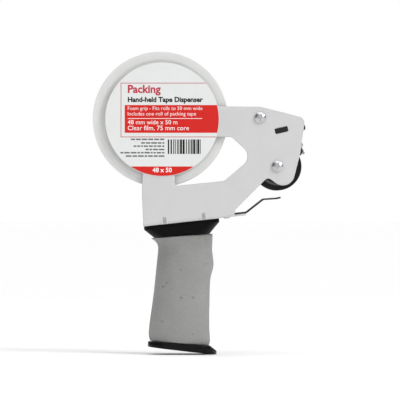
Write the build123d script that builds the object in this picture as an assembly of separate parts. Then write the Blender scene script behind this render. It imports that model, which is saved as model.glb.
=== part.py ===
from build123d import *
from math import cos, pi, radians, sin, tan
import os

# Hand-held packing tape dispenser with a pistol grip. All sizes are in millimetres.
# X points forward to the cutter, Y runs across from the side plate to the open side, Z is up.
# The origin is the middle of the foam grip, on the mid-plane of the tape.

# ---- tape roll
tape_width = 48.0
roll_diameter = 105.0
core_bore = 76.2
core_wall = 3.2

# ---- frame sheet
sheet = 1.5
side_gap = 3.0  # between the roll and each cheek
bend_inside = 1.1
edge_break = 0.3
coin_width = 1.8  # coined bevel on the post's window edge
coin_depth = 0.7

# ---- grip and neck
grip_length = 84.2
grip_lean = 4.2  # degrees, the top leans forward
collar_tilt = 8.4  # degrees, the neck's lower face against the grip's axis
collar_back = 3.3  # the collar's middle lies this far behind the grip's axis
# Foam outline: share of the half length, rear edge, front edge, half width.
foam_stations = (
    (-1.00, -22.4, 24.4, 15.9),
    (-0.89, -23.7, 25.0, 16.5),
    (-0.72, -23.8, 23.6, 16.5),
    (-0.34, -22.6, 22.8, 16.2),
    (0.24, -21.5, 21.3, 15.8),
    (0.48, -21.3, 23.5, 16.0),
    (0.75, -21.1, 21.2, 15.6),
)
foam_top_length = 48.2
foam_top_width = 33.0
stem_length = 34.0
stem_width = 22.0
stem_corner = 10.5
stem_wall = 2.5
stem_boss_radius = 4.0
stem_top_wall = 12.0
neck_height = 10.5
neck_rim = 2.8
neck_top_length = 59.0
neck_top_width = 40.0
neck_top_corner = 8.0
neck_foot_length = 43.6
neck_foot_width = 30.0
neck_foot_corner = 11.0

# ---- base cap under the grip
cap_rear_height = 4.4
cap_front_height = 6.6
cap_rear = 23.8
cap_lip = 30.6
cap_width = 33.0
cap_shoulder = 24.4  # where the top starts to slope to the front lip
cap_slope_drop = 3.9
spigot_height = 4.0
spigot_wall = 2.0
spigot_clearance = 0.15

# ---- side plate, base web and arm
base_slope = 6.2  # degrees, the web rises forward
hub_above_web = 80.3
hub_behind_grip = 16.9
hub_disc_radius = 34.0
post_behind = 13.1  # rear edge of the post behind the hub axis
post_ahead = 11.4
post_bow = 1.2
arm_top_above_hub = 10.2
web_front = 41.2
lip_front = 50.0
lip_margin = 1.0  # the lip is wider than the strip on it, each side
diagonal_foot = 5.0  # the arm's front edge stands this far off the web's underside
upstand_height = 9.0
dart_positions = (-13.2, 17.1)
dart_leg = 5.6
dart_width = 2.6

# ---- head, measured from the roller axis: ahead, above, corner radius
roller_ahead_of_hub = 91.1
roller_below_hub = 36.8
head_corners = (
    (-7.6, -8.5, 3.3),  # notch
    (9.7, -21.0, 9.2),  # lobe
    (17.6, 9.6, 25.0),  # front bend
    (21.6, 37.6, 5.4),  # front top corner
    (-13.2, 46.4, 25.0),  # top bend
)
# Window in the side plate, from the roller axis: upper, front and lower corners.
window_corners = (
    (-35.6, 22.8, 3.0),
    (-19.2, 7.6, 8.4),
    (-41.3, -11.3, 6.0),
)
window_slope = 5.7
cheek_rear = 25.0  # rear edge of the far cheek behind the roller axis
cheek_hide = 1.2  # the far cheek stays this far inside the side plate's window edge
cheek_foot_lift = 2.0
cheek_foot_rear = 0.0

# ---- roller
roller_radius = 18.75
tyre_thickness = 4.0
roller_overhang = 1.0  # roller beyond the tape, each side
roller_end_play = 0.15
axle_radius = 4.0
running_clearance = 0.05
washer_radius = 7.0
tread_groove_width = 1.0
tread_groove_depth = 0.5
tread_grooves = 9
rim_groove_inset = 1.85  # from the tread

# ---- spacer and slot, from the roller axis
spacer_behind = 13.4
spacer_above = 37.7
spacer_radius = 8.4
slot_ahead = 3.1
slot_above = 28.2
slot_length = 10.0
slot_width = 4.0
slot_turn = 13.0
slot_clearance = 0.1

# ---- blade holder and blade
tip_clear = 2.75  # tooth tips ahead of the roller's surface
tip_above = 10.0  # and above its axis
blade_lean = 24.1  # degrees off the vertical, the teeth point forward
blade_height = 12.0
blade_thickness = 0.8
tooth_pitch = 2.0
tooth_depth = 1.7
blade_overhang = 1.2  # blade beyond the tape, each side
blade_screw_rise = 8.2
blade_screw_inset = 9.0  # from the tape's edges
teeth_bare = 2.3
holder_wall = 3.0
holder_wall_top = 20.0
holder_nose = 2.4
shelf_slope = 6.8
shelf_thickness = 4.0
shelf_behind = 6.5
shelf_ahead = 18.7
holder_ribs = 4
holder_rib_width = 2.4
tab_proud = 0.25

# ---- guide tongue
tongue_thickness = 1.3
tongue_inset = 3.0  # narrower than the tape, each side
tongue_rear = 23.0
tongue_corner = 3.0
tape_gap = 5.5  # from the roller down to the strip's flat run
tongue_knee = (-11.0, -0.7)  # ahead of the roller axis, above the flat run's end
tongue_flat_end = (-0.3, 0.0)
tongue_tip = (2.6, 0.7)

# ---- hub and brake
hub_clearance = 0.4  # radial, to the core's bore
hub_wall = 2.4
hub_short = 4.0  # the hub stops this far inside the roll's open side
hub_flange_cover = 0.7  # beyond the core's outside
hub_flange_gap = 0.3  # flange to the roll
hub_web = 2.0
hub_spokes = 6
hub_spoke_width = 2.0
hub_spoke_depth = 8.0
hub_boss_radius = 9.0
grip_ribs = 6
grip_rib_height = 0.2
grip_rib_radius = 1.4
stud_radius = 4.0
stud_head_radius = 7.0
stud_head = 0.8
friction_thickness = 1.2
friction_radius = 15.0
face_gap = 0.1
thread_radius = 3.0
thread_pitch = 1.0
seat_thickness = 1.0
spring_length = 9.0
spring_wire = 1.2
spring_radius = 6.4
spring_turns = 4
pusher_thickness = 1.5
pusher_radius = 9.0
knob_height = 10.0
knob_radius = 14.0
knob_lobes = 8
knob_proud = 2.5  # beyond the hub's open end
insert_flats = 10.0
insert_height = 5.0

# ---- fasteners
screw_radius = 2.5
screw_pitch = 0.8
screw_head_radius = 4.4
screw_head_height = 2.9
screw_length = 10.0
screw_hole_clearance = 0.15
blade_screw_radius = 1.5
blade_screw_head_radius = 2.8
blade_screw_head_height = 1.6
blade_screw_length = 3.4
cap_screw_radius = 2.0
cap_screw_head_radius = 3.8
cap_screw_head_height = 1.8
cap_screw_length = 14.0
rivet_radius = 2.0
rivet_head_radius = 3.6
rivet_head_height = 1.3
rivet_tail_height = 0.9
cheek_rivet_xs = (8.0, 21.0, 34.0)
cheek_rivet_rise = 6.2
tongue_rivet_radius = 1.6
tongue_rivet_x = 35.0
tongue_rivet_y = 12.0
handle_screw_xs = (-14.0, 12.0)

# ---- label card
label_radius = 44.25
label_thickness = 0.4
label_offset = (1.5, -0.3)

# ---- places that follow from the sizes above
cheek_inner = tape_width / 2 + side_gap
cheek_outer = cheek_inner + sheet
handle_frame = Location((0, 0, 0), (0, grip_lean, 0))
half_grip = grip_length / 2


def grip_point(along, up):
    """X and Z of a point given along and up the leaning grip."""
    lean = radians(grip_lean)
    return (along * cos(lean) + up * sin(lean), up * cos(lean) - along * sin(lean))


collar_x, collar_z = grip_point(-collar_back, half_grip)
web_zero = collar_z + neck_height - collar_x * tan(radians(base_slope))


def web_line(x):
    """Height of the base web's underside at x."""
    return web_zero + x * tan(radians(base_slope))


hub_x = -hub_behind_grip
hub_z = web_zero + hub_above_web
roller_x = hub_x + roller_ahead_of_hub
roller_z = hub_z - roller_below_hub
spacer_x = roller_x - spacer_behind
spacer_z = roller_z + spacer_above
tongue_half_width = tape_width / 2 - tongue_inset
lip_half_width = tongue_half_width + lip_margin
slot_x = roller_x + slot_ahead
slot_z = roller_z + slot_above
web_rear = hub_x - post_behind
post_front = hub_x + post_ahead
hub_near = -cheek_inner + friction_thickness + face_gap
hub_flange_far = -tape_width / 2 - hub_flange_gap
hub_far = tape_width / 2 - hub_short
hub_radius = core_bore / 2 - hub_clearance
hub_flange_radius = core_bore / 2 + core_wall + hub_flange_cover
roll_near = -tape_width / 2
roller_half = tape_width / 2 + roller_overhang
rim_groove_radius = roller_radius - rim_groove_inset
knob_far = hub_far + knob_proud
knob_near = knob_far - knob_height
pusher_near = knob_near - pusher_thickness
seat_far = pusher_near - spring_length
seat_near = seat_far - seat_thickness
boss_far = seat_near - face_gap


# ---- helpers
def outline(corners):
    """A closed face from (x, y, corner radius) rows."""
    points = [(x, y) for x, y, _ in corners]
    return make_face(FilletPolyline(*points, radius=[r for _, _, r in corners], close=True))


def slab(face, near, far):
    """A face drawn in X and Z, given thickness from y = near to y = far."""
    return extrude(Plane.XZ.offset(-far) * face, far - near)


def rod(x, z, radius, near, far):
    """A round bar across the tool."""
    return slab(Pos(x, z) * Circle(radius), near, far)


def ring(x, z, outer, inner, near, far):
    return rod(x, z, outer, near, far) - rod(x, z, inner, near, far)


def from_roller(corners):
    """Corner rows measured from the roller axis, as places."""
    return [(roller_x + x, roller_z + z, r) for x, z, r in corners]


def web_frame(x):
    """A frame on the web's underside at x, its Z square to the web."""
    return Location((x, 0, web_line(x)), (0, -base_slope, 0))


def across(x, y, z, facing):
    """A frame whose Z points out of a cheek: facing is -1 at the side plate, 1 at the far cheek."""
    return Plane(origin=(x, y, z), x_dir=(1, 0, 0), z_dir=(0, facing, 0)).location


def above_web(x, rise):
    """The point that stands rise square above the web's underside at x."""
    return (web_frame(x) * Pos(0, 0, rise)).position


def only_solid(shape):
    """The single solid of a shape."""
    return shape.solids()[0]


def thread_profile(radius, pitch, start, end):
    """Half profile of a thread drawn as separate rings, from z = start down to z = end."""
    root = radius - 0.5 * pitch
    turns = int((start - end) / pitch)
    points = [(root, start)]
    for turn in range(turns):
        top = start - turn * pitch
        points += [(radius, top - 0.35 * pitch), (radius, top - 0.5 * pitch), (root, top - 0.85 * pitch)]
    points.append((root, end))
    return points


def dome(radius, rim, height):
    """The arc of a shallow dome, from its rim at z = rim up to the axis at z = height."""
    rise = height - rim
    ball = (radius ** 2 + rise ** 2) / (2 * rise)
    half = height - ball + (ball ** 2 - radius ** 2 / 4) ** 0.5
    return ThreePointArc((radius, rim), (radius / 2, half), (0, height))


def pan_screw(radius, pitch, head_radius, head_height, length, plain):
    """A cross-recess pan-head screw: the head above z = 0, the shank below it."""
    rim = 0.4 * head_height
    shank = [(radius, 0), (radius, -plain)] + thread_profile(radius, pitch, -plain, -length)
    side = Polyline((0, head_height), (0, -length), *reversed(shank), (head_radius, 0), (head_radius, rim))
    body = revolve(Plane.XZ * make_face(side + dome(head_radius, rim, head_height)), Axis.Z)
    slot = Box(head_radius, 0.26 * head_radius, head_height)
    slot = slot + Rot(0, 0, 90) * slot
    return body - Pos(0, 0, head_height) * slot


def head_screw():
    return pan_screw(screw_radius, screw_pitch, screw_head_radius, screw_head_height, screw_length, sheet)


def rivet(radius, grip):
    """A rivet through z = 0 down to z = -grip, with a domed head and a flatter tail."""
    head = rivet_head_radius * radius / rivet_radius
    rim = 0.2 * rivet_head_height
    tail = 0.85 * head
    end = -grip - rivet_tail_height
    side = Polyline(
        (0, rivet_head_height), (0, end), (0.7 * tail, end), (tail, end / 2 - grip / 2),
        (tail, -grip), (radius, -grip), (radius, 0), (head, 0), (head, rim),
    )
    return revolve(Plane.XZ * make_face(side + dome(head, rim, rivet_head_height)), Axis.Z)


# ---- frame
def cheek_holes(near, far):
    """Screw holes and the holder's slot, cut through either cheek."""
    hole = screw_radius + screw_hole_clearance
    slot = Pos(slot_x, slot_z) * Rot(0, 0, slot_turn) * RectangleRounded(
        slot_length + 2 * slot_clearance, slot_width + 2 * slot_clearance, 0.8)
    cut = slab(slot, near, far)
    cut += rod(roller_x, roller_z, hole, near, far)
    cut += rod(spacer_x, spacer_z, hole, near, far)
    return cut


def plate_face():
    """Outline of the side plate with its post, hub disc, arm, head and window."""
    post_mid = (web_line(web_rear) + hub_z) / 2
    corners = [
        (web_rear, web_line(web_rear), 1.2),
        (web_front, web_line(web_front), 1.2),
        (web_front, web_line(web_front) + diagonal_foot, 2.0),
        *from_roller(head_corners),
        (hub_x, hub_z + arm_top_above_hub, 0),
        (web_rear + 1.0, hub_z, 0),
        (web_rear - post_bow, post_mid - 15.0, 100.0),
    ]
    upper, front, lower = from_roller(window_corners)
    bottom = lower[1] - (lower[0] - post_front) * tan(radians(window_slope))
    window = [(post_front, upper[1], 0), upper, front, lower, (post_front, bottom, 1.5)]
    disc = Pos(hub_x, hub_z) * Circle(hub_disc_radius)
    return outline(corners) - (outline(window) - disc) + disc


def broken_plate(face, near, far, seen):
    """A flat plate whose edges are broken on the face at y = seen."""
    plate = only_solid(slab(face, near, far))
    side = plate.faces().filter_by(Axis.Y).sort_by(Axis.Y)[0 if seen == near else -1]
    return chamfer(side.edges(), edge_break)


def dart(x):
    """A pressed stiffening dart over the near bend: the inner bulge and the outer dent."""
    skin = sheet * 2 ** 0.5
    prisms = []
    for leg, width in ((dart_leg + skin, dart_width + 2 * sheet), (dart_leg, dart_width)):
        corner = Polyline((-cheek_outer, 0), (-cheek_outer + leg, 0), (-cheek_outer, leg), close=True)
        prism = extrude(Plane.YZ.offset(-width / 2) * make_face(corner), width)
        prisms.append(web_frame(x) * prism)
    return prisms


def make_side_frame():
    """One bent sheet: side plate, base web with its front lip, and a low far upstand."""
    length = (web_front - web_rear) / cos(radians(base_slope))
    lip = (lip_front - web_front) / cos(radians(base_slope))
    frame = web_frame(web_rear)
    near_y = -cheek_outer
    bend = bend_inside + sheet
    inner = Rectangle(cheek_inner + cheek_outer, dart_leg + 20.0, align=(Align.MIN, Align.MIN))
    channel = Pos(near_y, 0) * inner
    hollow = Rectangle(2 * cheek_inner - sheet, dart_leg + 20.0, align=(Align.MIN, Align.MIN))
    section = channel - Pos(-cheek_inner, sheet) * hollow
    section = extrude(Plane.YZ * section, length)
    sharp = [e for e in section.edges().filter_by(Axis.X) if abs(e.center().Z) < 0.01]
    section = fillet(sharp, bend)
    tight = [e for e in section.edges().filter_by(Axis.X) if abs(e.center().Z - sheet) < 0.01
             and abs(abs(e.center().Y + sheet / 2) - cheek_inner + sheet / 2) < 0.01]
    section = fillet(tight, bend_inside)
    far_trim = Pos(0, 0, upstand_height) * Box(
        length, 2 * sheet, 60.0, align=(Align.MIN, Align.MIN, Align.MIN))
    section -= Pos(0, cheek_inner - 1.5 * sheet, 0) * far_trim
    near_trim = Pos(0, near_y - sheet, bend + 1.0) * Box(
        length, 3 * sheet, 60.0, align=(Align.MIN, Align.MIN, Align.MIN))
    channel = frame * (section - near_trim)
    tongue_lip = frame * Pos(length, 0, 0) * extrude(
        Pos(lip / 2 - 1.0, 0) * RectangleRounded(lip + 2.0, 2 * lip_half_width, 2.0), sheet)
    plate = broken_plate(plate_face(), -cheek_outer, -cheek_inner, -cheek_outer)
    corner_cut = frame * Pos(-20, near_y - 1, -20) * Box(
        length + 60, 3 * sheet, 20 + bend + 1.0, align=(Align.MIN, Align.MIN, Align.MIN))
    shape = (plate - corner_cut) + channel + tongue_lip
    for x in dart_positions:
        bulge, dent = dart(x)
        shape = shape + bulge - dent
    shape -= cheek_holes(-cheek_outer - 1, -cheek_inner + 1)
    shape -= rod(hub_x, hub_z, stud_radius, -cheek_outer - 1, -cheek_inner + 1)
    shape -= rod(hub_x, hub_z, stud_head_radius, -cheek_outer, -cheek_outer + stud_head)
    shape -= coin_cut()
    for x in handle_screw_xs:
        shape -= web_frame(x) * Cylinder(screw_radius + screw_hole_clearance, 4 * sheet)
    for x, y in tongue_rivet_places():
        shape -= web_frame(x) * Pos(0, y, 0) * Cylinder(tongue_rivet_radius, 4 * sheet)
    for x in cheek_rivet_xs:
        shape -= rod(x, web_line(x) + cheek_rivet_rise, rivet_radius, cheek_inner - 2 * sheet, cheek_inner)
    return only_solid(shape)


def coin_cut():
    """The coined bevel along the post's window edge."""
    _, _, lower = from_roller(window_corners)
    foot = lower[1] - (lower[0] - post_front) * tan(radians(window_slope)) + 3.0
    bevel = Polyline(
        (post_front + 0.01, -cheek_outer - 0.01), (post_front - coin_width, -cheek_outer - 0.01),
        (post_front + 0.01, -cheek_outer + coin_depth), close=True)
    return extrude(Plane.XY.offset(foot) * make_face(bevel), hub_z - hub_disc_radius - foot)


def make_far_cheek():
    """The separate far cheek: head and diagonal arm, riveted outside the upstand."""
    foot_front = (web_front, web_line(web_front) + cheek_foot_lift, 1.2)
    upper, front, lower = from_roller(window_corners)
    rear = roller_x - cheek_rear
    slope = (front[1] - lower[1]) / (front[0] - lower[0])
    knee_x = front[0] + cheek_hide
    heel_z = web_line(cheek_foot_rear) + cheek_foot_lift
    heel_x = knee_x - (front[1] - heel_z) / slope
    shoulder = upper[1] - (rear - upper[0]) * (upper[1] - front[1]) / (front[0] - upper[0])
    top = roller_z + head_corners[-1][1]
    corners = [
        (heel_x, heel_z, 2.0),
        foot_front,
        (web_front, web_line(web_front) + diagonal_foot, 2.0),
        *from_roller(head_corners),
        (rear, top, 6.0),
        (rear, shoulder + 2 * cheek_hide, 3.0),
        (knee_x, front[1], 8.4),
    ]
    cheek = broken_plate(outline(corners), cheek_inner, cheek_outer, cheek_outer)
    cheek -= cheek_holes(cheek_inner - 1, cheek_outer + 1)
    for x in cheek_rivet_xs:
        cheek -= rod(x, web_line(x) + cheek_rivet_rise, rivet_radius, cheek_inner - 1, cheek_outer + 1)
    return only_solid(cheek)


def make_cheek_rivets():
    places = [across(x, cheek_outer, web_line(x) + cheek_rivet_rise, 1) for x in cheek_rivet_xs]
    return Compound([only_solid(place * rivet(rivet_radius, 2 * sheet)) for place in places])


# ---- head
def tapped_bar(x, z, radius):
    """A bar between the cheeks, tapped at both ends for the head screws."""
    depth = screw_length + 1.0
    bar = rod(x, z, radius, -cheek_inner, cheek_inner)
    bar -= rod(x, z, screw_radius, -cheek_inner, -cheek_inner + depth)
    bar -= rod(x, z, screw_radius, cheek_inner - depth, cheek_inner)
    return only_solid(bar)


def make_head_screws():
    screws = []
    for x, z in ((roller_x, roller_z), (spacer_x, spacer_z)):
        for facing in (-1, 1):
            screws.append(only_solid(across(x, facing * cheek_outer, z, facing) * head_screw()))
    return Compound(screws)


def make_roller_core():
    """The roller's plastic core, dished at both ends."""
    bore = axle_radius + running_clearance
    outer = roller_radius - tyre_thickness
    core = ring(roller_x, roller_z, outer, bore, -roller_half, roller_half)
    for near, far in ((-roller_half, -roller_half + 3), (roller_half - 3, roller_half)):
        core -= ring(roller_x, roller_z, outer - 2.0, washer_radius + 1.0, near, far)
    return only_solid(core)


def make_roller_tyre():
    """The rubber tyre, with tread grooves and a groove near each rim."""
    inner = roller_radius - tyre_thickness
    tyre = ring(roller_x, roller_z, roller_radius, inner, -roller_half, roller_half)
    tyre = chamfer(tyre.edges().filter_by(GeomType.CIRCLE).group_by(SortBy.RADIUS)[-1], 0.6)
    step = 2 * roller_half / (tread_grooves + 1)
    for i in range(tread_grooves):
        y = -roller_half + step * (i + 1)
        tyre -= ring(roller_x, roller_z, roller_radius + 1, roller_radius - tread_groove_depth,
                     y - tread_groove_width / 2, y + tread_groove_width / 2)
    for near, far in ((-roller_half, -roller_half + 0.5), (roller_half - 0.5, roller_half)):
        tyre -= ring(roller_x, roller_z, rim_groove_radius + 0.4, rim_groove_radius - 0.4, near, far)
    return only_solid(tyre)


def make_roller_washers():
    """A nylon washer at each end of the roller, filling the gap to the cheek."""
    near = roller_half + roller_end_play
    discs = []
    for low, high in ((-cheek_inner, -near), (near, cheek_inner)):
        discs.append(only_solid(ring(roller_x, roller_z, washer_radius, axle_radius, low, high)))
    return Compound(discs)


def blade_point(rise, depth):
    """X and Z of a point up the blade from its tips and behind its front face."""
    lean = radians(blade_lean)
    return (roller_x + roller_radius + tip_clear - rise * sin(lean) - depth * cos(lean),
            roller_z + tip_above + rise * cos(lean) - depth * sin(lean))


def blade_frame():
    """X across the tool, Y up the blade from its tips, Z out of its front face."""
    lean = radians(blade_lean)
    x, z = blade_point(0, 0)
    return Plane(origin=(x, 0, z), x_dir=(0, 1, 0), z_dir=(cos(lean), 0, sin(lean)))


def blade_screw_places():
    spread = tape_width / 2 - blade_screw_inset
    return [(side * spread, blade_screw_rise) for side in (-1, 1)]


def make_cutter_blade():
    """A serrated steel strip."""
    half = tape_width / 2 + blade_overhang
    teeth = round(2 * half / tooth_pitch)
    pitch = 2 * half / teeth
    edge = [(-half, tooth_depth)]
    for i in range(teeth):
        edge += [(-half + (i + 0.5) * pitch, 0), (-half + (i + 1) * pitch, tooth_depth)]
    strip = make_face(Polyline(*edge, (half, blade_height), (-half, blade_height), close=True))
    for x, y in blade_screw_places():
        strip -= Pos(x, y) * Circle(blade_screw_radius)
    return only_solid(extrude(blade_frame() * strip, -blade_thickness))


def make_blade_screws():
    screws = []
    for x, y in blade_screw_places():
        place = blade_frame().location * Pos(x, y, 0)
        screw = pan_screw(blade_screw_radius, 0.5, blade_screw_head_radius, blade_screw_head_height,
                          blade_screw_length, blade_thickness)
        screws.append(only_solid(place * screw))
    return Compound(screws)


def make_blade_holder():
    """A moulded bar across the head: shelf, sloping blade wall, ribs and two end tabs."""
    back = blade_thickness + holder_wall
    front = blade_thickness
    nose_x, nose_z = blade_point(teeth_bare, (front + back) / 2)
    wall = Polyline(blade_point(teeth_bare, front), (nose_x, nose_z - holder_nose),
                    blade_point(teeth_bare + 0.8, back), blade_point(holder_wall_top, back),
                    blade_point(holder_wall_top, front), close=True)
    shelf = Pos(slot_x, slot_z) * Rot(0, 0, shelf_slope) * Pos(-shelf_behind, 0) * RectangleRounded(
        shelf_behind + shelf_ahead, shelf_thickness, 1.2, align=(Align.MIN, Align.CENTER))
    bar = slab(make_face(wall) + shelf, -cheek_inner, cheek_inner)
    rib = make_face(Polyline(blade_point(8.0, back - 0.5), blade_point(holder_wall_top, back - 0.5),
                             (slot_x, slot_z), close=True))
    pitch = (2 * cheek_inner - holder_rib_width) / (holder_ribs + 1)
    for i in range(holder_ribs + 2):
        y = -cheek_inner + i * pitch
        bar += slab(rib, y, y + holder_rib_width)
    tab = Pos(slot_x, slot_z) * Rot(0, 0, slot_turn) * RectangleRounded(slot_length, slot_width, 0.7)
    bar += slab(tab, -cheek_outer - tab_proud, -cheek_inner + 1.0)
    bar += slab(tab, cheek_inner - 1.0, cheek_outer + tab_proud)
    for x, y in blade_screw_places():
        bore = Pos(x, y, -blade_screw_length / 2) * Cylinder(blade_screw_radius, blade_screw_length + 0.4)
        bar -= blade_frame().location * bore
    return only_solid(bar)


# ---- tape path
def tongue_rivet_places():
    return [(tongue_rivet_x, side * tongue_rivet_y) for side in (-1, 1)]


def make_guide_tongue():
    """A thin sprung strip that leaves the web, climbs, and runs level under the roller."""
    lift = sheet + tongue_thickness / 2
    route = [above_web(tongue_rear, lift), above_web(lip_front + 0.3, lift)]
    flat = roller_z - roller_radius - tape_gap - tongue_thickness / 2
    for ahead, above in (tongue_knee, tongue_flat_end, tongue_tip):
        route.append((roller_x + ahead, 0, flat + above))
    path = FilletPolyline(*route, radius=tongue_corner)
    start = Plane(origin=path @ 0, x_dir=(0, 1, 0), z_dir=path % 0)
    strip = sweep(start * Rectangle(2 * tongue_half_width, tongue_thickness), path=path)
    for x, y in tongue_rivet_places():
        strip -= web_frame(x) * Pos(0, y, 0) * Cylinder(tongue_rivet_radius, 6 * sheet)
    return only_solid(strip)


def make_tongue_rivets():
    grip = sheet + tongue_thickness
    return Compound([only_solid(web_frame(x) * Pos(0, y, grip) * rivet(tongue_rivet_radius, grip))
                     for x, y in tongue_rivet_places()])


# ---- handle
def stem_face(shrink):
    return RectangleRounded(stem_length - 2 * shrink, stem_width - 2 * shrink, stem_corner - shrink)


def collar_plane():
    """The neck's lower face, where the foam starts."""
    tilt = radians(collar_tilt - grip_lean)
    return Plane(origin=(collar_x, 0, collar_z), x_dir=(cos(tilt), 0, sin(tilt)), z_dir=(-sin(tilt), 0, cos(tilt)))


def make_handle_core():
    """Moulded neck and hollow stem, open at the bottom, with a central screw boss."""
    middle = web_rear + neck_top_length / 2
    top = web_frame(middle)
    rim_face = RectangleRounded(neck_top_length, neck_top_width, neck_top_corner)
    rim = top * extrude(rim_face, -neck_rim)
    foot_face = RectangleRounded(neck_foot_length, neck_foot_width, neck_foot_corner)
    upper_face = top * Pos(0, 0, -neck_rim) * rim_face
    taper = loft([upper_face.face(), (collar_plane() * foot_face).face()])
    stem = Pos(0, 0, -half_grip) * extrude(stem_face(0), grip_length + 1.0)
    hollow_height = grip_length - stem_top_wall
    hollow = Pos(0, 0, -half_grip) * extrude(stem_face(stem_wall), hollow_height)
    ribs = Pos(0, 0, -half_grip + spigot_height + 2.0) * Box(
        stem_length - stem_wall, 2.0, hollow_height - 2.0, align=(Align.CENTER, Align.CENTER, Align.MIN))
    boss = Pos(0, 0, -half_grip) * Cylinder(
        stem_boss_radius, hollow_height + 1.0, align=(Align.CENTER, Align.CENTER, Align.MIN))
    core = rim + taper + handle_frame * stem
    core -= handle_frame * (hollow - ribs - boss)
    core -= handle_frame * Pos(0, 0, -half_grip) * Cylinder(
        cap_screw_radius, 2 * cap_screw_length)
    for x in handle_screw_xs:
        core -= web_frame(x) * Cylinder(screw_radius, 2 * (screw_length - sheet + 0.3))
    return only_solid(core)


def foam_section(share, rear, front, half_width):
    middle = (rear + front) / 2
    return handle_frame * Pos(middle, 0, share * half_grip) * Ellipse((front - rear) / 2, half_width)


def make_grip_sleeve():
    """The foam sleeve over the stem, flared at its top rear."""
    faces = [foam_section(*station).face() for station in foam_stations]
    faces.append((collar_plane() * Ellipse(foam_top_length / 2, foam_top_width / 2)).face())
    foam = loft(faces)
    stem = handle_frame * Pos(0, 0, -grip_length) * extrude(stem_face(0), 2 * grip_length)
    return only_solid(foam - stem)


def make_handle_screws():
    return Compound([only_solid(web_frame(x) * Pos(0, 0, sheet) * head_screw()) for x in handle_screw_xs])


def cap_profile():
    """Side profile of the base cap, along and up the grip."""
    top = -half_grip
    return outline((
        (-cap_rear, top, 0.9),
        (cap_shoulder, top, 1.5),
        (cap_lip, top - cap_slope_drop, 1.1),
        (cap_lip - 0.3, top - cap_front_height, 1.1),
        (-cap_rear + 1.0, top - cap_rear_height, 1.8),
    ))


def make_base_cap():
    """The gloss cap that closes the grip, with a front lip, a spigot and a recessed screw."""
    body = slab(cap_profile(), -cap_width / 2, cap_width / 2)
    length = cap_lip + cap_rear
    plan = Pos((cap_lip - cap_rear) / 2, 0, -half_grip - 2 * cap_front_height) * extrude(
        RectangleRounded(length, cap_width, cap_width / 2 - 0.5), 3 * cap_front_height)
    body = body & plan
    inset = stem_wall + spigot_clearance
    spigot = extrude(stem_face(inset), spigot_height) - extrude(stem_face(inset + spigot_wall), spigot_height)
    body += Pos(0, 0, -half_grip) * spigot
    body -= Pos(0, 0, -half_grip - cap_screw_seat() / 2) * Cylinder(cap_screw_radius + 0.15, 20.0)
    body -= Pos(0, 0, -half_grip - cap_screw_seat()) * Cylinder(
        cap_screw_head_radius + 0.4, 20.0, align=(Align.CENTER, Align.CENTER, Align.MAX))
    return only_solid(handle_frame * body)


def cap_screw_seat():
    """Thickness of the cap left under the screw head."""
    return cap_rear_height - cap_screw_head_height


def make_cap_screw():
    screw = pan_screw(cap_screw_radius, 0.7, cap_screw_head_radius, cap_screw_head_height,
                      cap_screw_length, cap_screw_seat())
    return only_solid(handle_frame * Pos(0, 0, -half_grip - cap_screw_seat()) * Rot(180, 0, 0) * screw)


# ---- hub and brake
def make_hub_stud():
    """The fixed stud: flush riveted head, plain journal and threaded end."""
    journal_end = boss_far - 0.5
    stud = rod(hub_x, hub_z, stud_head_radius, -cheek_outer, -cheek_outer + stud_head)
    stud += rod(hub_x, hub_z, stud_radius, -cheek_outer + stud_head, journal_end)
    thread = thread_profile(thread_radius, thread_pitch, 0, journal_end - knob_far + 1.0)
    core = [(0, 0)] + thread + [(0, journal_end - knob_far + 1.0)]
    screw = revolve(Plane.XZ * make_face(Polyline(*core, close=True)), Axis.Z)
    stud += across(hub_x, journal_end, hub_z, -1) * screw
    return only_solid(stud)


def make_hub():
    """The moulded hub: barrel, near flange, web, spoked boss and grip ribs."""
    bore = stud_radius + running_clearance
    hub = ring(hub_x, hub_z, hub_radius, hub_radius - hub_wall, hub_near, hub_far)
    rim = hub.edges().filter_by(GeomType.CIRCLE).sort_by(Axis.Y)
    hub = chamfer([e for e in rim[-2:] if e.radius > hub_radius - 0.01], 0.9)
    hub += rod(hub_x, hub_z, hub_flange_radius, hub_near, hub_flange_far)
    hub += rod(hub_x, hub_z, hub_radius, hub_near, hub_near + hub_web)
    hub += rod(hub_x, hub_z, hub_boss_radius, hub_near, boss_far)
    reach = hub_radius - hub_wall / 2
    for i in range(hub_spokes):
        spoke = Pos(hub_x, hub_z) * Rot(0, 0, 30 + i * 360 / hub_spokes) * Rectangle(
            reach, hub_spoke_width, align=(Align.MIN, Align.CENTER))
        hub += slab(spoke, hub_near, min(hub_near + hub_spoke_depth, boss_far))
    for i in range(grip_ribs):
        turn = 2 * pi * i / grip_ribs
        centre = hub_radius + grip_rib_height - grip_rib_radius
        hub += rod(hub_x + centre * cos(turn), hub_z + centre * sin(turn), grip_rib_radius,
                   hub_flange_far, hub_far - 3.0)
    hub -= rod(hub_x, hub_z, bore, hub_near - 1, boss_far + 1)
    return only_solid(hub)


def make_brake_spring():
    """The brake's compression spring, between the seat and the pusher."""
    wire = spring_wire / 2
    height = spring_length - spring_wire - 0.1
    coil = Helix(height / spring_turns, height, spring_radius)
    section = Plane(origin=coil @ 0, z_dir=coil % 0) * Circle(wire)
    spring = sweep(section, path=coil, is_frenet=True)
    return only_solid(across(hub_x, seat_far + wire + 0.05, hub_z, 1) * spring)


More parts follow.
